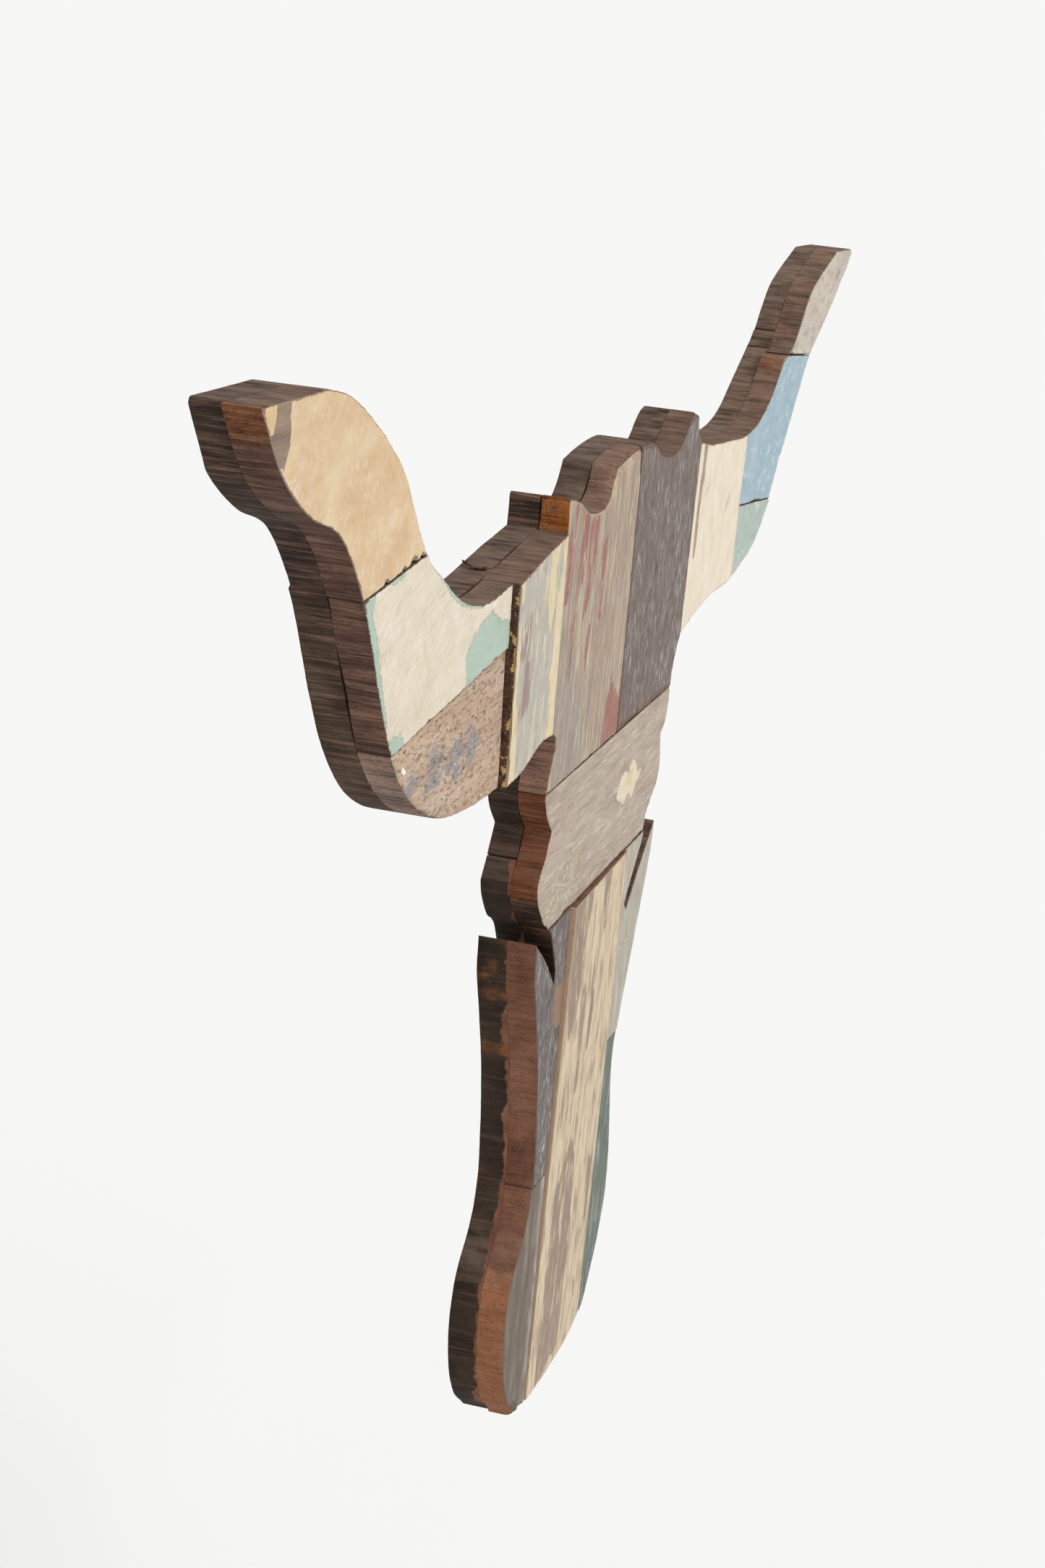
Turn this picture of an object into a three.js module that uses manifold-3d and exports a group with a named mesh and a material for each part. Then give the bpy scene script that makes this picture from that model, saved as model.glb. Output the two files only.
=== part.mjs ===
// Longhorn skull wall plaque, made of reclaimed painted planks on a layer of dark backing boards.
// Units are millimetres: +X is the viewer's right, +Z is up, and +Y points back towards the wall.
// Heights in this file count from the tip of the muzzle. The last lines move the origin to the
// back face of the lower head board, where the plaque lies against the wall.

import * as THREE from "three";
import { mergeVertices } from "three/addons/utils/BufferGeometryUtils.js";
import Module from "manifold-3d";

const wasm = await Module();
wasm.setup();

// ---- driving dimensions ----

const layerThickness = 14;
const jointGap = 0.5;
const layerGap = 0.3;
const outlineStep = 7;
const wallFaceHeight = 332;
const farOut = 700;

const screw = {
  headRadius: 3.8,
  shankRadius: 1.7,
  length: 24,
  recess: 2.3,
  rim: 0.3,
  point: 3,
  sides: 8,
};
const clearance = 0.35;

const hanger = {
  offset: 120,
  axisHeight: 432,
  wireRadius: 1.2,
  loopRadius: 1.55,
  sheet: 0.9,
  width: 10,
  length: 38,
  screwDrops: [22, 31],
};
const smallScrew = {
  headRadius: 3.2,
  headHeight: 1.7,
  crownRadius: 2,
  rim: 0.6,
  shankRadius: 1.3,
  length: 11,
  point: 2.5,
};
const ring = { innerWidth: 14, reach: 13.5, corner: 3, tilt: 6, sides: 8, steps: 44, splitGap: 0.5 };

// ---- the sawn outline, as corner-to-corner stretches, clockwise from the left horn's tip ----

const outline = [
  [[-497, 541], [-438, 540]],
  [[-438, 540], [-413, 534.5], [-383, 520.5], [-352, 501], [-320, 467.5], [-292, 451], [-266, 438.5],
    [-236, 432], [-200, 433.5], [-160, 438], [-119, 441.5]],
  [[-119, 441.5], [-119, 456.5]],
  [[-119, 456.5], [-100, 451.5], [-86, 445.5], [-68, 442.4], [-51, 443.6], [-42, 450], [-35, 458.5]],
  [[-35, 458.5], [-4, 461.8], [26, 461.6], [45, 454], [65, 449.5], [84, 451.8], [101, 461.5],
    [112, 465], [119, 462.5]],
  [[119, 462.5], [122, 454], [131, 447.5]],
  [[131, 447.5], [160, 442.8], [200, 439.5], [240, 436.8], [275, 440.5], [303, 451.5], [329, 470]],
  [[329, 470], [345, 471.5], [360, 480.5], [384, 499.5], [408, 508.5], [456, 520]],
  [[456, 520], [502, 518], [507, 515], [502, 511]],
  [[502, 511], [482, 501.5], [450, 484.5], [403, 463.5], [381, 444.5], [358, 423], [325, 391.5]],
  [[325, 391.5], [330, 387.5]],
  [[330, 387.5], [300, 370], [268, 362], [232, 357.8], [195, 358], [160, 354.5], [127, 349.5]],
  [[127, 349.5], [120, 340], [115.7, 328], [116.8, 315], [112, 305.5], [105.3, 301.5]],
  [[105.3, 301.5], [108, 293], [110.8, 284], [108, 276], [99, 269.5], [88.7, 261.5]],
  [[88.7, 261.5], [86.5, 252], [76, 240.5], [61.5, 226], [60, 221], [65, 219.5], [78, 230.5],
    [92, 241.5], [108.5, 254.3]],
  [[108.5, 254.3], [106, 236], [96, 211.5], [84.5, 185], [72, 155.5], [68.3, 137], [73, 115],
    [81.5, 84], [84, 60], [79, 40], [66, 17.5], [55, 4]],
  [[55, 4], [30, -2], [0, -3.5], [-33, -2.5], [-62, 0]],
  [[-62, 0], [-80, 10], [-94.5, 31], [-100.5, 57], [-96, 79.5], [-79, 100], [-73, 122], [-77, 152],
    [-84.5, 182], [-96, 211.5], [-105.5, 234], [-107.5, 251.5]],
  [[-107.5, 251.5], [-91, 240.2], [-73, 224.5], [-68.5, 220.5], [-67.5, 225], [-76, 239],
    [-85, 251.2], [-96, 257.5]],
  [[-96, 257.5], [-107, 268.5], [-112.5, 278.5], [-106, 287.5], [-97, 302]],
  [[-97, 302], [-108, 312], [-113.5, 324], [-108, 337.5], [-103.5, 345], [-112, 350.5]],
  [[-112, 350.5], [-138, 352.3], [-165, 347.5], [-200, 346.3], [-240, 348.6], [-280, 355.5],
    [-315, 371.5], [-341, 394], [-360, 419.5], [-386, 459.5], [-415, 487.5], [-447, 499.5],
    [-475, 516.5], [-497, 541]],
];

// ---- seams between the pieces, each a line from one point to another ----

const seams = {
  leftHead: [[-193, 340], [-199, 436]],
  crownLeft: [[-115.5, 350], [-120, 460]],
  crownMiddle: [[10, 323], [5, 463]],
  crownRight: [[126.5, 350], [130.5, 450]],
  rightHead: [[238, 357], [245, 437]],
  bandTop: [[-113, 323], [115, 323.8]],
  bandBottom: [[-90, 252.7], [90, 254.6]],
  muzzleLeft: [[-50, 0], [-50, 253]],
  muzzleRight: [[50, 0], [50, 254]],
  muzzleLeftSplit: [[-75, 119.5], [-50, 119]],
  muzzleRightSplit: [[50, 151], [70, 152]],
  leftHornTip: [[-388, 460.5], [-318, 466]],
  leftHornMiddle: [[-341, 394.7], [-197, 406.5]],
  rightHornMiddle: [[243, 398], [325, 390]],
  rightHornTip: [[340, 470], [401, 463.8]],
  backLeftTip: [[-477.5, 520], [-492.5, 540]],
  backLeftHorn: [[-390, 460], [-338, 512]],
  backLeftHead: [[-187, 340], [-183, 460]],
  backRightHead: [[187, 340], [184, 460]],
  backRightHorn: [[392, 452], [342, 494]],
  backHead: [[-187, 376], [187, 375]],
  backBand: [[-120, 289], [120, 288]],
  backMuzzle: [[-2, 0], [1, 288]],
};

const isLeft = 1;
const isRight = -1;

// ---- the painted face planks: the seams around each, its colour, and how it stands ----
// lift is how far the face stands in front of its neighbours; rise and climb tilt it, in mm of
// height per mm of width, across x and z.

const planks = [
  {
    name: "plank_left_horn_tip",
    colour: 0xd9bc92,
    sides: [["leftHornTip", isLeft], ["leftHead", isLeft]],
  },
  {
    name: "plank_left_horn_middle",
    colour: 0xe8dfcb,
    sides: [["leftHornTip", isRight], ["leftHornMiddle", isLeft], ["leftHead", isLeft]],
  },
  {
    name: "plank_left_horn_root",
    colour: 0xa8917f,
    lift: -0.4,
    sides: [["leftHornMiddle", isRight], ["leftHead", isLeft]],
  },
  {
    name: "plank_left_cheek",
    colour: 0xe8d6a8,
    lift: 1.7,
    rise: -0.033,
    centre: [-157, 395],
    sides: [["leftHead", isRight], ["crownLeft", isLeft]],
  },
  {
    name: "plank_crown_left",
    colour: 0xb5a08f,
    sides: [["crownLeft", isRight], ["crownMiddle", isLeft], ["bandTop", isLeft]],
  },
  {
    name: "plank_crown_right",
    colour: 0x7d7274,
    sides: [["crownMiddle", isRight], ["crownRight", isLeft], ["bandTop", isLeft]],
  },
  {
    name: "plank_right_cheek",
    colour: 0xe3d5bd,
    sides: [["crownRight", isRight], ["rightHead", isLeft]],
  },
  {
    name: "plank_right_horn_middle",
    colour: 0x9db8c9,
    sides: [["rightHead", isRight], ["rightHornMiddle", isLeft], ["rightHornTip", isRight]],
  },
  {
    name: "plank_right_horn_root",
    colour: 0xb2c3b6,
    lift: -0.5,
    sides: [["rightHead", isRight], ["rightHornMiddle", isRight]],
  },
  {
    name: "plank_right_horn_tip",
    colour: 0xcfc5b5,
    sides: [["rightHead", isRight], ["rightHornTip", isLeft]],
  },
  {
    name: "plank_brow",
    colour: 0xa99c8e,
    lift: -0.3,
    sides: [["bandTop", isRight], ["bandBottom", isLeft]],
  },
  {
    name: "plank_muzzle_left_upper",
    colour: 0x85828a,
    sides: [["bandBottom", isRight], ["muzzleLeft", isLeft], ["muzzleLeftSplit", isLeft]],
  },
  {
    name: "plank_muzzle_left_lower",
    colour: 0x857c71,
    lift: -0.3,
    sides: [["muzzleLeft", isLeft], ["muzzleLeftSplit", isRight]],
  },
  {
    name: "plank_muzzle_centre",
    colour: 0xcdb796,
    lift: 0.7,
    rise: -0.012,
    climb: 0.008,
    centre: [0, 125],
    sides: [["bandBottom", isRight], ["muzzleLeft", isRight], ["muzzleRight", isLeft]],
  },
  {
    name: "plank_muzzle_right_upper",
    colour: 0xc8c6b4,
    sides: [["bandBottom", isRight], ["muzzleRight", isRight], ["muzzleRightSplit", isLeft]],
  },
  {
    name: "plank_muzzle_right_lower",
    colour: 0x69746b,
    lift: -0.5,
    sides: [["muzzleRight", isRight], ["muzzleRightSplit", isRight]],
  },
];

// ---- the backing boards ----
// hollow is how far a thinner board's back stands off the wall, and trim is a corner that is cut off.

const boards = [
  {
    name: "board_left_horn_outer",
    hollow: 1,
    sides: [["backLeftTip", isRight], ["backLeftHorn", isLeft]],
  },
  { name: "board_left_horn_inner", sides: [["backLeftHorn", isRight], ["backLeftHead", isLeft]] },
  {
    name: "board_head_upper",
    sides: [["backLeftHead", isRight], ["backRightHead", isLeft], ["backHead", isLeft]],
  },
  {
    name: "board_head_lower",
    sides: [
      ["backLeftHead", isRight],
      ["backRightHead", isLeft],
      ["backHead", isRight],
      ["backBand", isLeft],
    ],
  },
  {
    name: "board_right_horn_inner",
    hollow: 1.5,
    trim: [[303, 451.5], [345.5, 471.8], [322, 485]],
    sides: [["backRightHead", isRight], ["backRightHorn", isLeft]],
  },
  { name: "board_right_horn_outer", hollow: 1.8, sides: [["backRightHorn", isRight]] },
  { name: "board_muzzle_left", sides: [["backBand", isRight], ["backMuzzle", isLeft]] },
  { name: "board_muzzle_right", sides: [["backBand", isRight], ["backMuzzle", isRight]] },
];

// ---- screws driven from the back through a board into a plank, x and height of each ----

const screwPlaces = {
  left_horn: [[-450, 519], [-388, 500], [-352, 437], [-225, 421], [-262, 377]],
  head: [[-160, 420], [-158, 363], [-30, 440], [-60, 350], [40, 435], [60, 350], [160, 420], [158, 368]],
  brow: [[-80, 305], [70, 268]],
  right_horn: [[285, 425], [290, 382], [357, 445], [395, 488], [460, 505]],
  muzzle: [[-75, 200], [-80, 55], [25, 235], [-25, 60], [75, 215], [70, 55]],
};

// ---- helpers ----

const point = ([x, z]) => new THREE.Vector2(x, z);

function standUp(geometry) {
  // A flat drawing's y becomes height, and its depth runs forwards, towards -Y.
  return geometry.rotateX(Math.PI / 2);
}

function toSolid(geometry) {
  const bare = geometry.clone();
  bare.deleteAttribute("normal");
  bare.deleteAttribute("uv");
  const merged = mergeVertices(bare, 1e-4);
  const mesh = new wasm.Mesh({
    numProp: 3,
    vertProperties: new Float32Array(merged.attributes.position.array),
    triVerts: new Uint32Array(merged.index.array),
  });
  return new wasm.Manifold(mesh);
}

function toGeometry(solid) {
  const mesh = solid.getMesh();
  const geometry = new THREE.BufferGeometry();
  geometry.setAttribute("position", new THREE.BufferAttribute(mesh.vertProperties, 3));
  geometry.setIndex(new THREE.BufferAttribute(mesh.triVerts, 1));
  return geometry;
}

function outlineShape() {
  const points = outline.flatMap((stretch) => {
    const curve = new THREE.SplineCurve(stretch.map(point));
    const pieces = Math.max(1, Math.round(curve.getLength() / outlineStep));
    return curve.getSpacedPoints(pieces).slice(0, -1);
  });
  return new THREE.Shape(points);
}

function layer(depth, back) {
  // A slab of the whole silhouette, depth thick, whose back face lies at y = back.
  const slab = new THREE.ExtrudeGeometry(outlineShape(), { depth, bevelEnabled: false });
  return toSolid(standUp(slab).translate(0, back, 0));
}

function keepSide(corners, [start, end], side) {
  // The part of a convex outline that lies on one side of a seam, less half the joint's gap.
  const along = point(end).sub(point(start)).normalize();
  const inward = new THREE.Vector2(-along.y, along.x).multiplyScalar(side);
  const depthOf = (corner) => corner.clone().sub(point(start)).dot(inward) - jointGap / 2;
  return corners.flatMap((corner, i) => {
    const next = corners[(i + 1) % corners.length];
    const here = depthOf(corner);
    const there = depthOf(next);
    const kept = here >= 0 ? [corner] : [];
    if (here >= 0 !== there >= 0) {
      kept.push(corner.clone().lerp(next, here / (here - there)));
    }
    return kept;
  });
}

function tallPrism(corners) {
  const prism = new THREE.ExtrudeGeometry(new THREE.Shape(corners), {
    depth: 4 * layerThickness,
    bevelEnabled: false,
  });
  return toSolid(standUp(prism).translate(0, layerThickness, 0));
}

function cell(sides) {
  // A tall prism that fills the space between the given seams.
  const square = [[-farOut, -farOut], [farOut, -farOut], [farOut, farOut], [-farOut, farOut]].map(point);
  return tallPrism(sides.reduce((shape, [name, side]) => keepSide(shape, seams[name], side), square));
}

function latheAlongY(profile, sides) {
  // Profile points are [radius, depth into the wood from the back face]; the axis runs along Y.
  const points = profile.map(([radius, depth]) => new THREE.Vector2(radius, depth));
  return new THREE.LatheGeometry(points, sides).rotateX(Math.PI);
}

function placeOnBack(geometry, [x, z]) {
  return geometry.translate(x, 0, z);
}

// ---- fasteners ----

function woodScrew(spare) {
  // A countersunk screw from its head at the back to its point, or the hole for it with a spare gap.
  const top = spare > 0 ? -1 : screw.recess;
  const head = screw.headRadius + spare;
  const shank = screw.shankRadius + spare;
  const rimEnd = screw.recess + screw.rim;
  const neck = rimEnd + screw.headRadius - screw.shankRadius;
  const tip = screw.length + spare;
  const stem = [[shank, neck], [shank, tip - screw.point], [0, tip]];
  const profile = [[0, top], [head, top], [head, rimEnd], ...stem];
  return latheAlongY(profile, screw.sides);
}

function hangerScrew(spare) {
  // A round-headed screw that holds a hanger's strap, or the hole for its shank with a spare gap.
  const seat = -(layerGap + 2 * hanger.sheet + layerGap);
  const top = seat - smallScrew.headHeight;
  const { headRadius, crownRadius, rim } = smallScrew;
  const shank = smallScrew.shankRadius + spare;
  const tip = smallScrew.length + spare;
  const crown = [[0, top], [crownRadius, top + 0.2]];
  const head = [...crown, [headRadius, seat - rim], [headRadius, seat], [shank, seat]];
  const hole = [[0, seat], [shank, seat]];
  const stem = [[shank, tip - smallScrew.point], [0, tip]];
  return latheAlongY([...(spare > 0 ? hole : head), ...stem], screw.sides);
}

// ---- hangers: a folded strap that holds a D-shaped ring ----

const ringAxisY = layerGap + hanger.loopRadius + hanger.sheet;
const hangerPlaces = [-hanger.offset, hanger.offset];
const hangerScrewPlaces = (x) => hanger.screwDrops.map((drop) => [x, hanger.axisHeight - drop]);

function strap(x) {
  // The strap's side view, y to the right and z up, around the ring's axis at the origin.
  const outer = hanger.loopRadius + hanger.sheet;
  const front = -outer + 2 * hanger.sheet;
  const turn = Math.acos(front / outer);
  const side = new THREE.Shape();
  side.moveTo(-outer, -hanger.length);
  side.lineTo(front, -hanger.length);
  side.lineTo(front, -outer * Math.sin(turn));
  side.absarc(0, 0, outer, -turn, Math.PI, false);
  side.closePath();
  side.holes.push(new THREE.Path().absarc(0, 0, hanger.loopRadius, 0, 2 * Math.PI, true));
  const folded = new THREE.ExtrudeGeometry(side, {
    depth: hanger.width,
    bevelEnabled: false,
    curveSegments: 10,
  });
  const standing = new THREE.Matrix4().makeBasis(
    new THREE.Vector3(0, 1, 0),
    new THREE.Vector3(0, 0, 1),
    new THREE.Vector3(1, 0, 0),
  );
  folded.applyMatrix4(standing).translate(x - hanger.width / 2, ringAxisY, hanger.axisHeight);
  const holes = hangerScrewPlaces(x).map((place) => toSolid(placeOnBack(hangerScrew(clearance), place)));
  return holes.reduce((solid, hole) => solid.subtract(hole), toSolid(folded));
}

function ringGeometry(x) {
  // Round wire bent into a D, its ends meeting in the middle of the straight bar.
  const half = ring.innerWidth / 2 + hanger.wireRadius;
  const bow = ring.reach - half;
  const bend = ring.corner * (1 - Math.SQRT1_2);
  const corners = [
    [ring.splitGap / 2, 0],
    [half - ring.corner, 0],
    [half - bend, -bend],
    [half, -ring.corner],
    [half, 1 - bow],
  ];
  const arc = [1, 2, 3].map((i) => {
    const angle = (i * Math.PI) / 8;
    return [half * Math.cos(angle), -bow - half * Math.sin(angle)];
  });
  const rightSide = [...corners, ...arc];
  const leftSide = rightSide.map(([px, pz]) => [-px, pz]).reverse();
  const bent = [...rightSide, [0, -ring.reach], ...leftSide];
  const path = bent.map(([px, pz]) => new THREE.Vector3(px, 0, pz));
  const section = new THREE.Shape(
    Array.from({ length: ring.sides }, (_, i) => {
      const angle = (2 * Math.PI * (i + 0.5)) / ring.sides;
      return new THREE.Vector2(Math.cos(angle), Math.sin(angle)).multiplyScalar(hanger.wireRadius);
    }),
  );
  const wire = new THREE.ExtrudeGeometry(section, {
    steps: ring.steps,
    extrudePath: new THREE.CatmullRomCurve3(path),
    bevelEnabled: false,
  });
  return wire.rotateX((ring.tilt * Math.PI) / 180).translate(x, ringAxisY, hanger.axisHeight);
}

// ---- assembly ----

const plaque = new THREE.Group();
plaque.position.z = -wallFaceHeight;

function addPiece(name, geometry, colour, roughness, metalness = 0) {
  const material = new THREE.MeshStandardMaterial({ color: colour, roughness, metalness });
  const mesh = new THREE.Mesh(geometry, material);
  mesh.name = name;
  plaque.add(mesh);
}

const screwHoles = Object.values(screwPlaces)
  .flat()
  .map((place) => toSolid(placeOnBack(woodScrew(clearance), place)));
const hangerHoles = hangerPlaces
  .flatMap(hangerScrewPlaces)
  .map((place) => toSolid(placeOnBack(hangerScrew(clearance), place)));

function drill(solid, holes) {
  return holes.reduce((drilled, hole) => drilled.subtract(hole), solid);
}

function tiltFace(geometry, { lift = 0, rise = 0, climb = 0, centre = [0, 0] }) {
  // Moves the front face to its own height and slope; the back stays flat on the boards.
  const positions = geometry.attributes.position;
  for (let i = 0; i < positions.count; i += 1) {
    if (positions.getY(i) < -2 * layerThickness + 0.01) {
      const slope = rise * (positions.getX(i) - centre[0]) + climb * (positions.getZ(i) - centre[1]);
      positions.setY(i, -2 * layerThickness - lift - slope);
    }
  }
  return geometry;
}

const faceLayer = layer(layerThickness - layerGap / 2, -layerThickness - layerGap / 2);

for (const plank of planks) {
  const blank = faceLayer.intersect(cell(plank.sides));
  const solid = drill(blank, screwHoles);
  addPiece(plank.name, tiltFace(toGeometry(solid), plank), plank.colour, 0.85);
}

for (const board of boards) {
  const hollow = board.hollow ?? 0;
  const slab = layer(layerThickness - layerGap / 2 - hollow, -hollow).intersect(cell(board.sides));
  const blank = board.trim ? slab.subtract(tallPrism(board.trim.map(point))) : slab;
  const solid = drill(blank, [...screwHoles, ...hangerHoles]);
  addPiece(board.name, toGeometry(solid), 0x3a2f2b, 0.9);
}

for (const [region, places] of Object.entries(screwPlaces)) {
  places.forEach((place, i) => {
    addPiece(`screw_${region}_${i + 1}`, placeOnBack(woodScrew(0), place), 0xb8a05c, 0.35, 1);
  });
}

hangerPlaces.forEach((x, i) => {
  const hand = ["left", "right"][i];
  addPiece(`hanger_strap_${hand}`, toGeometry(strap(x)), 0xa8a9ab, 0.35, 1);
  addPiece(`hanger_ring_${hand}`, ringGeometry(x), 0xb4b5b7, 0.3, 1);
  hangerScrewPlaces(x).forEach((place, j) => {
    const screw = placeOnBack(hangerScrew(0), place);
    addPiece(`hanger_screw_${hand}_${j + 1}`, screw, 0xa8a9ab, 0.35, 1);
  });
});

export default plaque;
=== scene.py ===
# A longhorn skull wall plaque of reclaimed painted planks, seen nearly edge-on from its left.
# The frame is in metres with +X to the right, +Z up and the boards' back face at y = 0. Shapes in
# this file are in millimetres, and heights (the second number of a pair) count from the muzzle's tip.
import math
import random

import bmesh
import bpy
import numpy as np
from mathutils import Matrix, Vector, noise
from mathutils.geometry import delaunay_2d_cdt


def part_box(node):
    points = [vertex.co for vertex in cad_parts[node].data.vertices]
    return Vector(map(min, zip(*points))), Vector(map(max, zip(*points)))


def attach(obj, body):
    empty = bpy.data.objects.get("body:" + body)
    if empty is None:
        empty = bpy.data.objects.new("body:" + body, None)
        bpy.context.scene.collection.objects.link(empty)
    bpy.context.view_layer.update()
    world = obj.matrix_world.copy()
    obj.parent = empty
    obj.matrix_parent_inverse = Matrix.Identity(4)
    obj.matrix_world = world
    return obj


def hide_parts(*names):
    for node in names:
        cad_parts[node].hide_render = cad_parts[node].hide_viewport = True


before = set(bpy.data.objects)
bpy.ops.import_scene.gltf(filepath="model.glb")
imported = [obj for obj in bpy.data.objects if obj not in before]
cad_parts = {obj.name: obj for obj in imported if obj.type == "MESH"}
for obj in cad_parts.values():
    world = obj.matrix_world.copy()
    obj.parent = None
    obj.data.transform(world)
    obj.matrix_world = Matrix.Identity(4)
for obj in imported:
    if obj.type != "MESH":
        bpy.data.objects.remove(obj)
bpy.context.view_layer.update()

MM = 0.001
TIP_DROP = 332.0  # the muzzle's tip is this far below the frame's origin
LAYER = 13.85  # the thickness of one layer of wood
JOINT = -14.0  # the two layers meet here
JOINT_GAP = 0.02  # and each keeps this far from it
FLAT = 0.02  # points within this of a plane lie on it
SHARP_TURN = math.radians(32)
STRAIGHT = 9.5  # a longer stretch of outline than this is a straight saw cut
HOLE_SIDES = 24
HOLE_EDGE = 2.0  # the stored edge gap in a screw pocket
HEAD_HOLE = (4.15, 2.7)  # a screw pocket's radius at its mouth, and how deep that part goes
SHANK_HOLE = (2.05, 4.8)
HOLE_MARGIN = 1.05  # the back's loose points keep this far from a pocket

# How a face plank and a backing board are drawn, in mm: the spacing of outline points, the depths
# of the rows of side points, and for the front and the back the spacing of the loose points and
# the rings of points near the edge. Then the front edge's usual and least wear, and the back's.
PLANK = dict(
    step=1.1, rows=(0.3, 0.7, 1.2, 2.0, 3.4, 5.4, 7.4, 9.4, 11.0, 12.2, 12.9, 13.4, 13.7),
    grid=2.2, rings=(0.4, 0.9, 1.6, 2.6), back_grid=9.0, back_rings=(),
    wear=1.0, least_wear=0.3, back_wear=0.15,
)
BOARD = dict(
    step=1.6, rows=(0.3, 0.7, 1.2, 2.0, 7.4, 12.2, 13.4, 13.7),
    grid=7.0, rings=(1.2,), back_grid=4.0, back_rings=(1.3,),
    wear=0.2, least_wear=0.05, back_wear=0.75,
)


# ---- outlines, read from the CAD nodes ----


def node_points(node):
    """A node's corners in mm, with heights from the muzzle's tip."""
    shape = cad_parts[node]
    corners = np.array([shape.matrix_world @ v.co for v in shape.data.vertices]) / MM
    return corners + [0, 0, TIP_DROP]


def back_outline(node):
    """The outer loop of a piece's flat back face, counter-clockwise from the front, and that face's y."""
    corners = node_points(node)
    back = corners[:, 1].max()
    names = [tuple(np.round(c[[0, 2]], 2)) for c in corners]
    place = {name: c[[0, 2]] for name, c in zip(names, corners)}
    edges = set()
    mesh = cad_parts[node].data
    for face in mesh.polygons:
        if all(corners[i, 1] > back - FLAT for i in face.vertices):
            loop = [names[i] for i in face.vertices]
            edges.update(zip(loop, loop[1:] + loop[:1]))
    after = {a: b for a, b in edges if (b, a) not in edges}
    loops = []
    while after:
        start, here = after.popitem()
        loop = [start]
        while here != start:
            loop.append(here)
            here = after.pop(here)
        loops.append(np.array([place[name] for name in loop]))
    outer = max(loops, key=lambda loop: abs(area(loop)))
    return (outer if area(outer) > 0 else outer[::-1]), back


def area(loop):
    x, z = loop[:, 0], loop[:, 1]
    return 0.5 * float(np.sum(x * np.roll(z, -1) - z * np.roll(x, -1)))


def unit(vectors):
    return vectors / np.maximum(np.linalg.norm(vectors, axis=-1, keepdims=True), 1e-9)


def smooth_outline(corners, step):
    """Rounds the gentle corners of an outline, keeps the sharp ones, and spaces points step apart."""
    keep = np.linalg.norm(corners - np.roll(corners, 1, axis=0), axis=1) > 0.05
    corners = corners[keep]
    edge = np.roll(corners, -1, axis=0) - corners
    length = np.linalg.norm(edge, axis=1)
    ahead = unit(edge)
    behind = np.roll(ahead, 1, axis=0)
    turn = np.arccos(np.clip(np.sum(ahead * behind, axis=1), -1, 1))
    points = []
    for i in range(len(corners)):
        j = (i + 1) % len(corners)

        def direction(k):
            if turn[k] > SHARP_TURN or length[i] > STRAIGHT:
                return ahead[i]
            if length[k - 1] > STRAIGHT:
                return behind[k]
            if length[k] > STRAIGHT:
                return ahead[k]
            return unit(ahead[k] + behind[k])

        pull = length[i] * np.array([direction(i), direction(j)])
        for t in np.arange(max(1, round(length[i] / step))) / max(1, round(length[i] / step)):
            points.append(
                (2 * t**3 - 3 * t**2 + 1) * corners[i]
                + (t**3 - 2 * t**2 + t) * pull[0]
                + (3 * t**2 - 2 * t**3) * corners[j]
                + (t**3 - t**2) * pull[1]
            )
    return np.array(points)


# ---- distances in the plane of the plaque ----


def to_segments(points, starts, ends):
    """Each point's distance to the nearest segment, that segment's number, and how far along it."""
    along = ends - starts
    size = np.maximum(np.sum(along**2, axis=1), 1e-9)
    best = np.full(len(points), 1e9)
    which = np.zeros(len(points), int)
    share = np.zeros(len(points))
    for first in range(0, len(points), 2000):
        part = points[first : first + 2000]
        t = np.einsum("psk,sk->ps", part[:, None] - starts[None], along) / size
        t = np.clip(t, 0, 1)
        gap = part[:, None] - starts[None] - t[..., None] * along[None]
        far = np.linalg.norm(gap, axis=2)
        pick = far.argmin(axis=1)
        rows = np.arange(len(part))
        best[first : first + 2000] = far[rows, pick]
        which[first : first + 2000] = pick
        share[first : first + 2000] = t[rows, pick]
    return best, which, share


def is_inside(points, loop):
    x, z = points[:, 0], points[:, 1]
    inside = np.zeros(len(points), bool)
    for (x0, z0), (x1, z1) in zip(loop, np.roll(loop, -1, axis=0)):
        if z0 != z1:
            crosses = (z0 > z) != (z1 > z)
            inside ^= crosses & (x < (x1 - x0) * (z - z0) / (z1 - z0) + x0)
    return inside


def depth_inside(points, loop):
    """How far each point is inside a loop, negative outside it."""
    loop = np.asarray(loop, float)
    far, _, _ = to_segments(points, loop, np.roll(loop, -1, axis=0))
    return np.where(is_inside(points, loop), far, -far)


def depth_in_stroke(points, path, start, end):
    """How far each point is inside a stroke along path, whose half-width runs from start to end."""
    path = np.asarray(path, float)
    far, which, share = to_segments(points, path[:-1], path[1:])
    along = (which + share) / (len(path) - 1)
    return start + (end - start) * along - far


def zone_depth(points, zone):
    """How far each point is inside the nearest of a zone's shapes.

    A shape is a list of three or more corners, or (path, half_width) or (path, first, last)."""
    depth = np.full(len(points), -60.0)
    for shape in zone:
        if isinstance(shape, tuple):
            path, start = shape[:2]
            found = depth_in_stroke(points, path, start, shape[-1])
        else:
            found = depth_inside(points, shape)
        depth = np.maximum(depth, found)
    return depth


def rough(points, size, seed):
    """Smooth noise from -1 to 1 with details of about this size in mm."""
    return np.array([noise.noise(Vector((x / size, z / size, seed * 9.7))) for x, z in points])


# ---- a worn slab of wood ----


def inward_of(loop):
    """The direction into a loop at each of its points."""
    run = unit(np.roll(loop, -1, axis=0) - np.roll(loop, 1, axis=0))
    return np.stack([-run[:, 1], run[:, 0]], axis=1)


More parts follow.
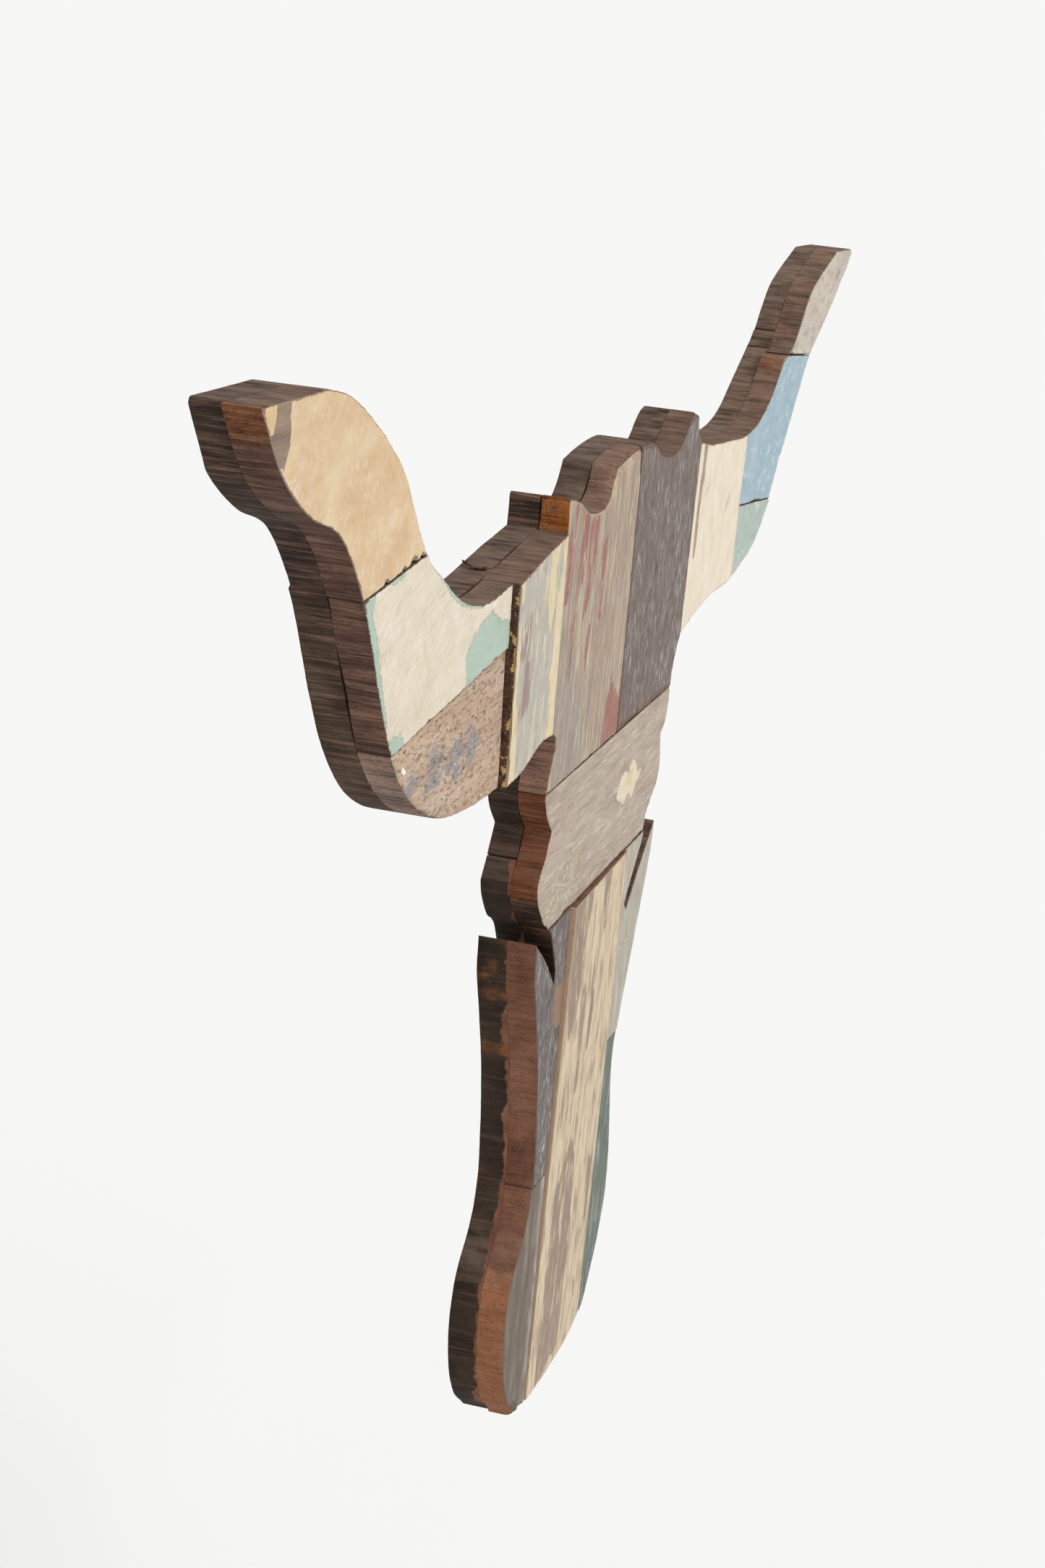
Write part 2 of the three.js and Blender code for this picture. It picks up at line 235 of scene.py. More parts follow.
def spaced_inside(loop, step, rings, seed):
    """Points inside a loop: rings close to its edge and a loose grid further in."""
    found = []
    for depth in rings:
        ring = loop + depth * inward_of(loop)
        found.append(ring[depth_inside(ring, loop) > 0.93 * depth])
    low, high = loop.min(axis=0), loop.max(axis=0)
    x, z = np.meshgrid(np.arange(low[0], high[0], step), np.arange(low[1], high[1], step * 0.87))
    x[1::2] += step / 2
    grid = np.stack([x.ravel(), z.ravel()], axis=1)
    shift = np.stack([rough(grid, step * 0.7, seed), rough(grid, step * 0.7, seed + 1)], axis=1)
    grid = grid + 0.25 * step * shift
    margin = (rings[-1] if rings else 0) + 0.45 * step
    found.append(grid[depth_inside(grid, loop) > margin])
    return np.concatenate(found)


def triangulate(loop, inner, holes=()):
    """Fills a loop with triangles over the given inner points, leaving the holes open.

    Returns the triangles, whose numbers count through the loop, the inner points and the holes."""
    points = np.concatenate([loop, inner, *holes])
    ring = len(loop)
    edges = [(i, (i + 1) % ring) for i in range(ring)]
    first = ring + len(inner)
    for hole in holes:
        edges += [(first + i, first + (i + 1) % len(hole)) for i in range(len(hole))]
        first += len(hole)
    corners = [Vector(p) for p in points]
    found, _, faces, origins, _, _ = delaunay_2d_cdt(corners, edges, [], 0, 1e-5)
    number = [origin[0] for origin in origins]
    middles = np.array([[sum(found[i][k] for i in face) / 3 for k in (0, 1)] for face in faces])
    kept = is_inside(middles, loop)
    for hole in holes:
        kept &= ~is_inside(middles, hole)
    return [tuple(number[i] for i in face) for face, keep in zip(faces, kept) if keep]


def ease(distance, reach):
    """How far a worn edge draws back at this distance from it."""
    return 0.3 * reach * np.clip(1 - distance / np.maximum(reach, 1e-6), 0, None) ** 2


def front_plane(node):
    """The height y of a node's front face as a function of (x, height) points."""
    corners = node_points(node)
    face = corners[corners[:, 1] < corners[:, 1].min() + 5]
    if np.ptp(face[:, 1]) < FLAT:
        level = float(face[:, 1].mean())
        return lambda points: np.full(len(points), level)
    terms = np.stack([np.ones(len(face)), face[:, 0], face[:, 2]], axis=1)
    fit = np.linalg.lstsq(terms, face[:, 1], rcond=None)[0]
    return lambda points: fit[0] + points @ fit[1:]


def circle(centre, radius):
    angle = 2 * math.pi * np.arange(HOLE_SIDES) / HOLE_SIDES
    return np.asarray(centre) + radius * np.stack([np.cos(angle), np.sin(angle)], axis=1)


def cut_corner(loop, x, z, reach, depth):
    """Saws a corner off flat, depth mm in from its point. A negative depth swells it instead."""
    corner = loop[np.hypot(loop[:, 0] - x, loop[:, 1] - z).argmin()]
    gap = np.hypot(*(loop - corner).T)
    inner = unit(loop[gap < reach].mean(axis=0) - corner)
    if depth > 0:
        push = np.where(gap < reach, np.clip(depth - (loop - corner) @ inner, 0, None), 0)
    else:
        push = depth * np.clip(1 - gap / reach, 0, None) ** 2
    return loop + push[:, None] * inner


def nearness(points, x, z, reach):
    """1 at a place, falling to 0 at this distance from it."""
    return np.clip(1 - np.hypot(points[:, 0] - x, points[:, 1] - z) / reach, 0, 1)


def edge_wear(loop, style, seed):
    """How far the wear of the front and of the back edge reaches, in mm, at each outline point."""
    waves = 0.55 * rough(loop, 17, seed) + 0.5 * rough(loop, 4, seed + 2) + 0.4 * rough(loop, 1.7, seed + 3)
    front_wear = np.clip((0.75 + waves) * style["wear"], style["least_wear"], 3)
    for *place, size in style.get("chips", ()):
        ragged = 1 + 0.35 * rough(loop, 1.3, seed + 8)
        front_wear = front_wear + size * nearness(loop, *place) ** 0.6 * ragged
    waves = 0.35 * rough(loop, 12, seed + 4) + 0.2 * rough(loop, 3, seed + 5)
    back_wear = np.clip(style["back_wear"] + waves, 0.04, 1.5)
    for *place, size in style.get("gaps", ()):
        back_wear = back_wear + size * nearness(loop, *place) ** 0.5
    return front_wear, back_wear


def from_edge(points, loop):
    """For points that begin with the loop's own: the distance to the loop and the loop point there."""
    gap, nearest, _ = to_segments(points, loop, np.roll(loop, -1, axis=0))
    gap[: len(loop)] = 0
    nearest[: len(loop)] = np.arange(len(loop))
    return gap, nearest


class Skin:
    """A slab's surface while it is put together."""

    def __init__(self):
        self.columns = {"xz": [], "y": [], "depth": [], "edge": [], "flat": []}
        self.faces = []
        self.size = 0

    def add(self, xz, y, depth, edge, flat):
        """Adds points and gives the first one's number. flat is where the zones are read for them."""
        first = self.size
        self.size += len(xz)
        for name, values in zip(("y", "depth", "edge"), (y, depth, edge)):
            self.columns[name].append(np.broadcast_to(values, len(xz)))
        self.columns["xz"].append(xz)
        self.columns["flat"].append(flat)
        return first

    def band(self, upper, lower, count):
        """Joins two rings of points."""
        for i in range(count):
            j = (i + 1) % count
            self.faces.append((upper + i, lower + i, lower + j, upper + j))

    def mesh(self, name, style):
        joined = {key: np.concatenate(values) for key, values in self.columns.items()}
        x, z = joined["xz"].T
        places = np.stack([x, joined["y"], z - TIP_DROP], axis=1) * MM
        mesh = bpy.data.meshes.new(name)
        mesh.from_pydata([tuple(p) for p in places], [], self.faces)
        tidy_normals(mesh)
        store(mesh, "edge_gap", joined["edge"])
        store(mesh, "depth", joined["depth"])
        for zone in ("zone_a", "zone_b", "zone_c", "warm_wood_and_shade"):
            store(mesh, zone, zone_depth(joined["flat"], style.get(zone, ())))
        mesh.shade_smooth()
        return mesh


def add_front(skin, loop, front, wear, style, seed):
    """The front face, with worn edges and relief, over rings of points and a loose grid."""
    inner = spaced_inside(loop, style["grid"], style["rings"], seed)
    face = np.concatenate([loop, inner])
    gap, nearest = from_edge(face, loop)
    drawn = ease(gap, wear[nearest])
    skin.faces += triangulate(loop, inner)
    return skin.add(
        face + drawn[:, None] * inward_of(loop)[nearest],
        front(face) + drawn + relief(face, gap, style, seed),
        0,
        gap - 0.8 * np.clip(wear[nearest] - 0.9, 0, None),
        face,
    )


def add_sides(skin, loop, front, back, wear, back_wear, rows, seed):
    """The sides, in rows from the front edge to the back edge, uneven from the saw.

    Gives the number that each row starts at."""
    thick = back - front(loop)
    saw = 0.09 * rough(loop, 0.9, seed + 6) + 0.12 * rough(loop, 3.1, seed + 7)
    starts = []
    for share in np.array(rows) / LAYER:
        deep = share * thick
        from_back = thick - deep
        front_ease, back_ease = ease(deep, wear), ease(from_back, back_wear)
        fade = np.clip(deep / 1.5, 0, 1) * np.clip(from_back / 1.5, 0, 1)
        side = loop + (front_ease + back_ease + fade * saw)[:, None] * inward_of(loop)
        starts.append(skin.add(side, front(loop) + deep + front_ease - back_ease, deep, 0, loop))
    return starts


def add_back(skin, loop, back, wear, style, seed):
    """The back face. A board's face shows, so it waves a little and is open where the screws go in."""
    centres = style.get("screw_holes", ())
    holes = [circle(centre, HEAD_HOLE[0]) for centre in centres]
    spare = spaced_inside(loop, style["back_grid"], style["back_rings"], seed + 20)
    for centre in centres:
        spare = spare[np.hypot(*(spare - centre).T) > HEAD_HOLE[0] + HOLE_MARGIN]
    face = np.concatenate([loop, spare])
    gap, nearest = from_edge(face, loop)
    drawn = ease(gap, wear[nearest])
    y = back - drawn
    if holes:
        y = y - 0.12 * (1 + rough(face, 9, seed + 9)) * np.clip(gap / 3, 0, 1)
    start = skin.add(face + drawn[:, None] * inward_of(loop)[nearest], y, LAYER, gap, face)
    rims = [skin.add(hole, back, LAYER, HOLE_EDGE, hole) for hole in holes]
    skin.faces += [tuple(start + i for i in tri)[::-1] for tri in triangulate(loop, spare, holes)]
    for centre, rim in zip(centres, rims):
        # A countersunk pocket: straight down for the head, then a cone to the shank, then closed.
        for radius, down in (HEAD_HOLE, SHANK_HOLE):
            ring = circle(centre, radius)
            lower = skin.add(ring, back - down, LAYER, HOLE_EDGE, ring)
            skin.band(rim, lower, HOLE_SIDES)
            rim = lower
        skin.faces.append(tuple(range(rim, rim + HOLE_SIDES)))


def add_object(name, data):
    thing = bpy.data.objects.new(name, data)
    bpy.context.scene.collection.objects.link(thing)
    return thing


def slab(name, node, style, seed):
    """Builds the worn wooden piece that stands for one CAD plank or board."""
    is_plank = node.startswith("plank_")
    style = {**(PLANK if is_plank else BOARD), **style}
    corners, node_back = back_outline(node)
    loop = smooth_outline(corners, style["step"])
    for cut in style.get("cut_corners", ()):
        loop = cut_corner(loop, *cut)
    front = front_plane(node) if is_plank else board_front
    back = JOINT - JOINT_GAP if is_plank else node_back
    wear, back_wear = edge_wear(loop, style, seed)
    skin = Skin()
    rows = [add_front(skin, loop, front, wear, style, seed)]
    rows += add_sides(skin, loop, front, back, wear, back_wear, style["rows"], seed)
    rows.append(skin.size)  # the back face starts with the outline's points too
    for upper, lower in zip(rows, rows[1:]):
        skin.band(upper, lower, len(loop))
    add_back(skin, loop, back, back_wear, style, seed)
    piece = add_object(name, skin.mesh(name, style))
    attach(piece, "plaque")
    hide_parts(node)
    return piece


def board_front(points):
    return np.full(len(points), JOINT + JOINT_GAP)


def store(mesh, name, values):
    attribute = mesh.attributes.new(name, "FLOAT", "POINT")
    attribute.data.foreach_set("value", np.asarray(values, np.float32))


def tidy_normals(mesh):
    work = bmesh.new()
    work.from_mesh(mesh)
    bmesh.ops.recalc_face_normals(work, faces=work.faces)
    work.to_mesh(mesh)
    work.free()


def relief(points, edge_gap, style, seed):
    """How far the front face lies behind its plane: a gentle wave, dents, grooves and raised paint."""
    inset = np.clip(edge_gap / 3, 0, 1)
    deep = 0.16 * rough(points, 24, seed + 11) + 0.05 * rough(points, 6, seed + 12)
    for x, z, wide, high, down in style.get("dents", ()):
        reach = ((points[:, 0] - x) / wide) ** 2 + ((points[:, 1] - z) / high) ** 2
        deep = deep + down * np.exp(-reach)
    for path, width, down in style.get("grooves", ()):
        path = np.asarray(path, float)
        far, _, _ = to_segments(points, path[:-1], path[1:])
        deep = deep + down * np.exp(-((far / width) ** 2))
    for zone, height in style.get("raised", ()):
        deep = deep - height * np.clip(zone_depth(points, style[zone]) + 0.5, 0, 1)
    return deep * inset


# ---- procedural finishes ----


def rgb(code):
    """A linear colour from a hex code."""
    parts = [int(code[i : i + 2], 16) / 255 for i in (1, 3, 5)]
    return tuple(((c + 0.055) / 1.055) ** 2.4 if c > 0.04045 else c / 12.92 for c in parts) + (1.0,)


SPECULAR = 0.08  # dry wood and dull paint reflect little


class Finish:
    """A short way to write one material's nodes. Sizes are in mm of the frame."""

    def __init__(self, name, grain=0):
        self.material = bpy.data.materials.new(name)
        self.material.use_nodes = True
        self.tree = self.material.node_tree
        self.tree.nodes.clear()
        self.grain = grain
        self.coords = self.add("ShaderNodeTexCoord").outputs["Object"]
        self.height = 0.0

    def add(self, kind, **settings):
        node = self.tree.nodes.new(kind)
        for key, value in settings.items():
            setattr(node, key, value)
        return node

    def put(self, value, socket):
        if isinstance(value, bpy.types.NodeSocket):
            self.tree.links.new(value, socket)
        else:
            socket.default_value = value

    def math(self, operation, a, b):
        node = self.add("ShaderNodeMath", operation=operation)
        self.put(a, node.inputs[0])
        self.put(b, node.inputs[1])
        return node.outputs[0]

    def times(self, a, b):
        return self.math("MULTIPLY", a, b)

    def plus(self, a, b):
        return self.math("ADD", a, b)

    def field(self, name):
        return self.add("ShaderNodeAttribute", attribute_name=name).outputs["Fac"]

    def normal(self, axis):
        """One part of the surface's direction: 0 to the right, 1 to the back, 2 up."""
        split = self.add("ShaderNodeSeparateXYZ")
        self.put(self.add("ShaderNodeNewGeometry").outputs["Normal"], split.inputs[0])
        return split.outputs[axis]

    def noise(self, size, stretch=(1, 1, 1), seed=0, detail=3, rough=0.55, turn=0):
        turned = self.add("ShaderNodeMapping")
        self.put(self.coords, turned.inputs["Vector"])
        turned.inputs["Rotation"].default_value = (0, math.radians(self.grain + turn), 0)
        scaled = self.add("ShaderNodeMapping")
        self.put(turned.outputs[0], scaled.inputs["Vector"])
        scaled.inputs["Scale"].default_value = [1 / (size * s * MM) for s in stretch]
        scaled.inputs["Location"].default_value = (seed * 7.3, seed * 3.1, seed * 5.7)
        texture = self.add("ShaderNodeTexNoise")
        self.put(scaled.outputs[0], texture.inputs["Vector"])
        texture.inputs["Scale"].default_value = 1.0
        texture.inputs["Detail"].default_value = detail
        texture.inputs["Roughness"].default_value = rough
        return texture.outputs["Fac"]

    def step(self, value, low, high):
        """0 below low, 1 above high."""
        node = self.add("ShaderNodeMapRange", interpolation_type="LINEAR", clamp=True)
        self.put(value, node.inputs["Value"])
        node.inputs["From Min"].default_value = low
        node.inputs["From Max"].default_value = high
        return node.outputs["Result"]

    def mix(self, share, a, b):
        node = self.add("ShaderNodeMix", data_type="RGBA")
        self.put(share, node.inputs[0])
        self.put(a, node.inputs[6])
        self.put(b, node.inputs[7])
        return node.outputs[2]

    def blend(self, share, a, b):
        """A mix of two numbers."""
        node = self.add("ShaderNodeMix", data_type="FLOAT")
        self.put(share, node.inputs[0])
        self.put(a, node.inputs[2])
        self.put(b, node.inputs[3])
        return node.outputs[0]

    def tint(self, colour, share, amount, code):
        """Moves a colour towards another by this amount where the share is 1."""
        return self.mix(self.times(share, amount), colour, rgb(code))

    def tones(self, value, codes):
        """Colours spread evenly over the usual range of a noise. A single one pales towards 1."""
        node = self.add("ShaderNodeValToRGB")
        self.put(value, node.inputs[0])
        stops = node.color_ramp.elements
        codes = codes.split()
        low, high = 0.32, 0.68
        while len(stops) < len(codes):
            stops.new(0.5)
        for i, code in enumerate(codes):
            stops[i].position = low + (high - low) * i / max(1, len(codes) - 1)
            stops[i].color = rgb(code)
        return node.outputs[0]

    def raise_by(self, amount):
        self.height = self.plus(self.height, amount)

    def ragged(self, name, amount, size, seed, stretch=1):
        """A zone's depth with an uneven edge."""
        wobble = self.math("SUBTRACT", self.noise(size, (stretch, 1, 1), seed + 50, detail=5), 0.5)
        return self.plus(self.field(name), self.times(wobble, 4 * amount))

    def output(self, colour, roughness, metal=0.0):
        bump = self.add("ShaderNodeBump")
        bump.inputs["Strength"].default_value = 1.0
        bump.inputs["Distance"].default_value = MM
        self.put(self.height, bump.inputs["Height"])
        shader = self.add("ShaderNodeBsdfPrincipled")
        self.put(colour, shader.inputs["Base Color"])
        self.put(roughness, shader.inputs["Roughness"])
        shader.inputs["Metallic"].default_value = metal
        shader.inputs["Specular IOR Level"].default_value = SPECULAR
        self.put(bump.outputs[0], shader.inputs["Normal"])
        end = self.add("ShaderNodeOutputMaterial")
        self.put(shader.outputs[0], end.inputs["Surface"])
        return self.material


def sawn_sides(finish, tones, warm_and_shade_tones, seed, saw_depth, mottle=0.9):
    """The colour and height of sawn edges: a drifting brown with fine lines that the saw left."""
    drift = finish.noise(26, (1, 0.8, 1), seed, detail=4)
    # The warm zone turns the sides to warmer wood, and in the grey-blue muzzle's notch to near-black
    # painted shadow.
    warmth_and_shade = finish.step(finish.ragged("warm_wood_and_shade", 2.2, 8, seed), -1.6, 1.6)
    blotch = finish.step(finish.noise(3.2, (1, 1.6, 1), seed + 9, detail=5, rough=0.65), 0.5, 0.66)
    warm_and_shade_colour = finish.tint(finish.tones(drift, warm_and_shade_tones), blotch, mottle, "#4a2c1b")
    colour = finish.mix(warmth_and_shade, finish.tones(drift, tones), warm_and_shade_colour)
    saw = finish.noise(0.75, (1, 26, 1), seed + 1, detail=2)
    band = finish.noise(3.0, (1, 18, 1), seed + 2, detail=3, rough=0.6)
    pores = finish.noise(0.55, (1, 3, 1), seed + 3, detail=1)
    for pattern, low, high, amount, code in (
        (saw, 0.5, 0.7, 0.55 * saw_depth, "#1f1612"),
        (saw, 0.46, 0.3, 0.25 * saw_depth, "#a8836d"),
        (band, 0.5, 0.66, 0.55 * saw_depth, "#241913"),
        (band, 0.46, 0.34, 0.3 * saw_depth, "#94705f"),
        (pores, 0.58, 0.68, 0.45, "#1f1511"),
    ):
        colour = finish.tint(colour, finish.step(pattern, low, high), amount, code)
    # Dust and a painted highlight of the light from above lie on the edges that face up, as a paler
    # grey-brown.
    up = finish.step(finish.normal(2), 0.35, 0.95)
    dust_and_top_light = finish.step(finish.noise(5, (1, 3, 1), seed + 4, detail=4), 0.3, 0.66)
    colour = finish.tint(colour, finish.times(up, dust_and_top_light), 0.5, "#8d7767")
    height = finish.plus(finish.times(saw, -0.3 * saw_depth), finish.times(band, -0.4 * saw_depth))
    return colour, finish.plus(height, finish.times(finish.step(pores, 0.6, 0.7), -0.05))


# Tones of sawn wood: the planks' sides, the warmer places on them, the boards and their sapwood.
SIDE_BROWN = "#463229 #574036 #6d5044"
SIDE_MAHOGANY = "#5a3c2f #6c4838 #7c5643"
WARM_ORANGE = "#7f4622 #95571f #8a4f24"
WARM_BROWN = "#64402b #784a2d #6a4630"
WARM_MAHOGANY = "#7f523a #8f6044 #87583e"
BOARD_DARK = "#2a211d #372c26 #463930"
BOARD_BROWN = "#382b23 #493a2f #5a4839"
BOARD_BLACK = "#221b17 #2f261f #3e3228"
BOARD_SAPWOOD = "#6f4528 #835430 #5f3e28"


def paint(colours, **where):
    """One layer of a plank's finish, with the settings that lay_over takes."""
    return {"colours": colours, **where}


def lay_over(finish, colour, on_face, mark, colours, size=0, stretch=1, turn=0, detail=5, level=None,
             soft=0.012, zone="", shift=0, zone_soft=0.12, ragged=0.7, ragged_size=2.5, ragged_stretch=1,
             ragged_seed=0, amount=1.0, thick=0, edge=True):
    """Lays a mottled layer, thick mm high, over a colour.

    With a level it lies where noise of this size passes the level. With a zone it lies only in
    that zone, or only outside it where a minus leads the name, and shift pulls it back from the
    zone's edge. With edge it is worn off at the plank's edges."""
    cover = on_face if edge else 1.0
    if level:
        pattern = finish.noise(size, (stretch, 1, 1), mark, detail, 0.62, turn)
        cover = finish.times(cover, finish.step(pattern, level - soft, level + soft))
    if zone:
        depth = finish.ragged(zone.lstrip("-"), ragged, ragged_size, ragged_seed or mark, ragged_stretch)
        side = -1 if zone.startswith("-") else 1
        found = finish.step(depth, side * (shift - zone_soft), side * (shift + zone_soft))
        cover = finish.times(cover, found)
    cover = finish.times(cover, amount)
    if thick:
        finish.raise_by(finish.times(cover, thick))
    shade = finish.noise(10, (2, 1, 1), mark + 3, detail=6)
    return finish.mix(cover, colour, finish.tones(shade, colours))


def worn_paint(name, ground, layers, grain, seed, bare, rough=0.72, grain_depth=0.1, tones=SIDE_BROWN,
               warm_wood_and_shade=WARM_BROWN, saw=1.0, mottle=0.9, rim=None, drips=None):
    """A face plank: bare wood under layers of paint, worn off at the edges, and sawn brown sides.

    On the sides that face left, rim is how deep a band of painted shading reaches from the face, and its
    tones:
    dark ones paint shade on a proud side, pale ones cancel a side's own shade. drips is a noise level and
    the tones of paint that ran over the edge."""
    finish = Finish(name, grain)
    fibres = finish.noise(1.0, (26, 2, 1), seed + 5, detail=3)
    colour = finish.tones(finish.noise(7, (9, 1, 1), seed, detail=4), ground)
    colour = finish.tint(colour, finish.step(fibres, 0.5, 0.7), 0.35, "#5a493e")
    finish.raise_by(finish.times(fibres, -grain_depth * 1.6))
    wobble = finish.noise(2.6, (2, 1, 1), seed + 8, detail=6, rough=0.7)
    edge = finish.plus(finish.field("edge_gap"), finish.times(wobble, 3.0))
    on_face = finish.step(edge, 1.5 + bare - 0.15, 1.5 + bare + 0.15)
    for number, layer in enumerate(layers):
        colour = lay_over(finish, colour, on_face, seed + 13 * (number + 1), **layer)
    specks = finish.noise(1.3, (1.6, 1, 1), seed + 31, detail=4, rough=0.7)
    colour = finish.tint(colour, finish.step(specks, 0.65, 0.74), 0.3, "#5d4a3d")
    finish.raise_by(finish.times(finish.noise(2.2, (2, 1, 1), seed + 32, detail=5), grain_depth * 0.9))

    side_colour, side_height = sawn_sides(finish, tones, warm_wood_and_shade, seed + 60, saw, mottle)
    leftward = finish.step(finish.normal(0), -0.4, -0.8)
    # The rim band is painted shading on the sides that face left.
    if rim:
        reach, rim_shading_tones = rim
        deep = finish.plus(finish.field("depth"), finish.times(wobble, 1.6))
        cover = finish.times(leftward, finish.step(deep, reach + 1.1, reach + 0.7))
        side_colour = finish.mix(cover, side_colour, finish.tones(specks, rim_shading_tones))
    if drips:
        level, drip_tones = drips
        fewer = finish.times(finish.field("depth"), 0.03)
        pattern = finish.math("SUBTRACT", finish.noise(3.5, (1, 1, 2.2), seed + 40, detail=5), fewer)
        cover = finish.times(leftward, finish.step(pattern, level, level + 0.03))
        side_colour = finish.mix(cover, side_colour, finish.tones(specks, drip_tones))
    on_side = finish.step(finish.field("depth"), 0.2, 0.5)
    finish.height = finish.blend(on_side, finish.height, side_height)
    spread = finish.plus(finish.times(finish.noise(9, (3, 1, 1), seed + 33), 0.25), rough - 0.12)
    return finish.output(finish.mix(on_side, colour, side_colour), finish.blend(on_side, spread, 0.78))


def dark_timber(name, seed, tones=BOARD_DARK, creep=(-1.5, 2.0), saw=1.0):
    """A backing board: nearly black wood with sawn sides, dusty and painted lighter on top as if lit from
    above, planed at the back.

    creep says how far the face layer's brown reaches over the joint: its middle and its swing."""
    finish = Finish(name)
    side_colour, side_height = sawn_sides(finish, tones, BOARD_SAPWOOD, seed, saw)
    wave = finish.math("SUBTRACT", finish.noise(24, (1, 90, 1), seed + 12, detail=4, rough=0.6), 0.5)
    reach = finish.plus(finish.times(wave, 4 * creep[1]), creep[0])
    over = finish.step(finish.math("SUBTRACT", reach, finish.field("depth")), -0.4, 0.4)
    creep_colour = finish.tones(finish.noise(12, (1, 1, 1), seed + 13), SIDE_MAHOGANY)
    side_colour = finish.mix(over, side_colour, creep_colour)
    fibres = finish.noise(1.1, (30, 2, 1), seed + 5, detail=3)
    back = finish.tones(finish.noise(9, (8, 1, 1), seed + 6, detail=4), "#3a2c23 #4b392d #5d4838")
    back = finish.tint(back, finish.step(fibres, 0.5, 0.7), 0.6, "#221914")
    planer = finish.noise(6, (1, 1, 8), seed + 7, detail=2)
    back = finish.tint(back, finish.step(planer, 0.55, 0.75), 0.3, "#6e5642")
    on_back = finish.step(finish.field("depth"), 13.3, 13.7)
    finish.height = finish.blend(on_back, side_height, finish.times(fibres, -0.25))
    return finish.output(finish.mix(on_back, side_colour, back), 0.8)


def zinc(name, tones, seed):
    """Zinc-plated steel with clouded plating, fine scratches and a little dull grime."""
    finish = Finish(name)
    cloud = finish.noise(2.4, (1, 1, 1), seed, detail=4)
    grime = finish.step(finish.noise(1.1, (1, 1, 1), seed + 1, detail=5), 0.58, 0.7)
    colour = finish.tint(finish.tones(cloud, tones), grime, 0.5, "#5a5044")
    scratch = finish.noise(0.35, (18, 1, 1), seed + 2, detail=2, turn=35)
    finish.raise_by(finish.times(finish.step(scratch, 0.6, 0.7), -0.02))
    spread = finish.plus(finish.times(cloud, 0.3), 0.24)
    return finish.output(colour, finish.plus(spread, finish.times(grime, 0.2)), metal=1.0)


# ---- the face planks: where their paint lies and how they are worn ----
#
# zone_a, zone_b, zone_c and the warm zone are lists of shapes, as zone_depth takes them. The first three
# mark where layers lie, and the warm zone is where the sawn sides turn from brown to warmer wood, and on
# the
# grey-blue muzzle to near-black painted shadow. wear scales the rounding of the front edge. The rest are
# lists of places, in mm:
#   chips        x, height, reach and size of a piece broken off the front edge
#   gaps         the same for the back edge, where the joint with the boards opens
#   dents        x, height, half-width, half-height and depth
#   grooves      path, half-width and depth
#   raised       a zone's name and how far its paint stands up
#   cut_corners  x, height, reach and depth, as cut_corner takes them

ALONG_X = 0
ALONG_Z = 90


def buff_horn_tip():
    """Thick buff paint, bare grey-brown along the upper left edge with one scrap of paint left."""
    layers = [
        paint("#58473c", zone="-zone_a", ragged=1.0, ragged_seed=5, shift=-0.5, amount=0.6),
        paint("#cbac85 #d1b68f #d8c19d", zone="-zone_a", ragged=1.0, ragged_seed=5, thick=0.3),
        paint("#cdb088 #d4bb93", zone="zone_b", ragged=0.6, thick=0.3),
        paint("#bf9a6c", size=2.6, stretch=3.5, turn=55, level=0.57, soft=0.09, amount=0.5,
              zone="-zone_a"),
        paint("#b8946a", size=0.9, stretch=3, turn=62, level=0.57, soft=0.06, amount=0.4, detail=3,
              zone="-zone_a", thick=-0.05),
        paint("#dfcbaa", size=2.2, stretch=2, turn=-30, level=0.6, soft=0.07, amount=0.25,
              zone="-zone_a"),
        paint("#a3754b", size=1.6, level=0.675, soft=0.03, amount=0.6),
        paint("#694e3e", size=2.4, level=0.725, soft=0.01, amount=0.8, thick=-0.15),
    ]
    return dict(
        slot="paint_buff",
        zone_a=[
            [(-499, 545), (-471, 545), (-471, 540), (-472, 535), (-470, 530), (-471, 525), (-475, 519),
             (-482, 522)],
        ],
        zone_b=[[(-496, 542), (-484, 542), (-484, 536), (-486, 531.5), (-489.5, 531), (-493, 536)]],
        chips=[
            (-364, 462, 3, 3.0),
            (-345, 463, 2.5, 2.6),
            (-334, 464, 5, 3.6),
            (-325, 465, 3, 2.4),
            (-497, 541, 5, 2.0),
        ],
        dents=[(-438, 527, 1.4, 1.6, 0.7), (-361, 491, 1.2, 1.3, 0.6), (-418, 505, 2, 1.2, 0.3)],
        warm_wood_and_shade=[[(-500, 543), (-492, 543), (-485, 523), (-500, 523)]],
        finish=worn_paint("buff_horn_tip", "#816e61 #8e7c6b #9b8878", layers, ALONG_X, seed=3, bare=0.35,
                          grain_depth=0.14, warm_wood_and_shade=WARM_BROWN),
    )


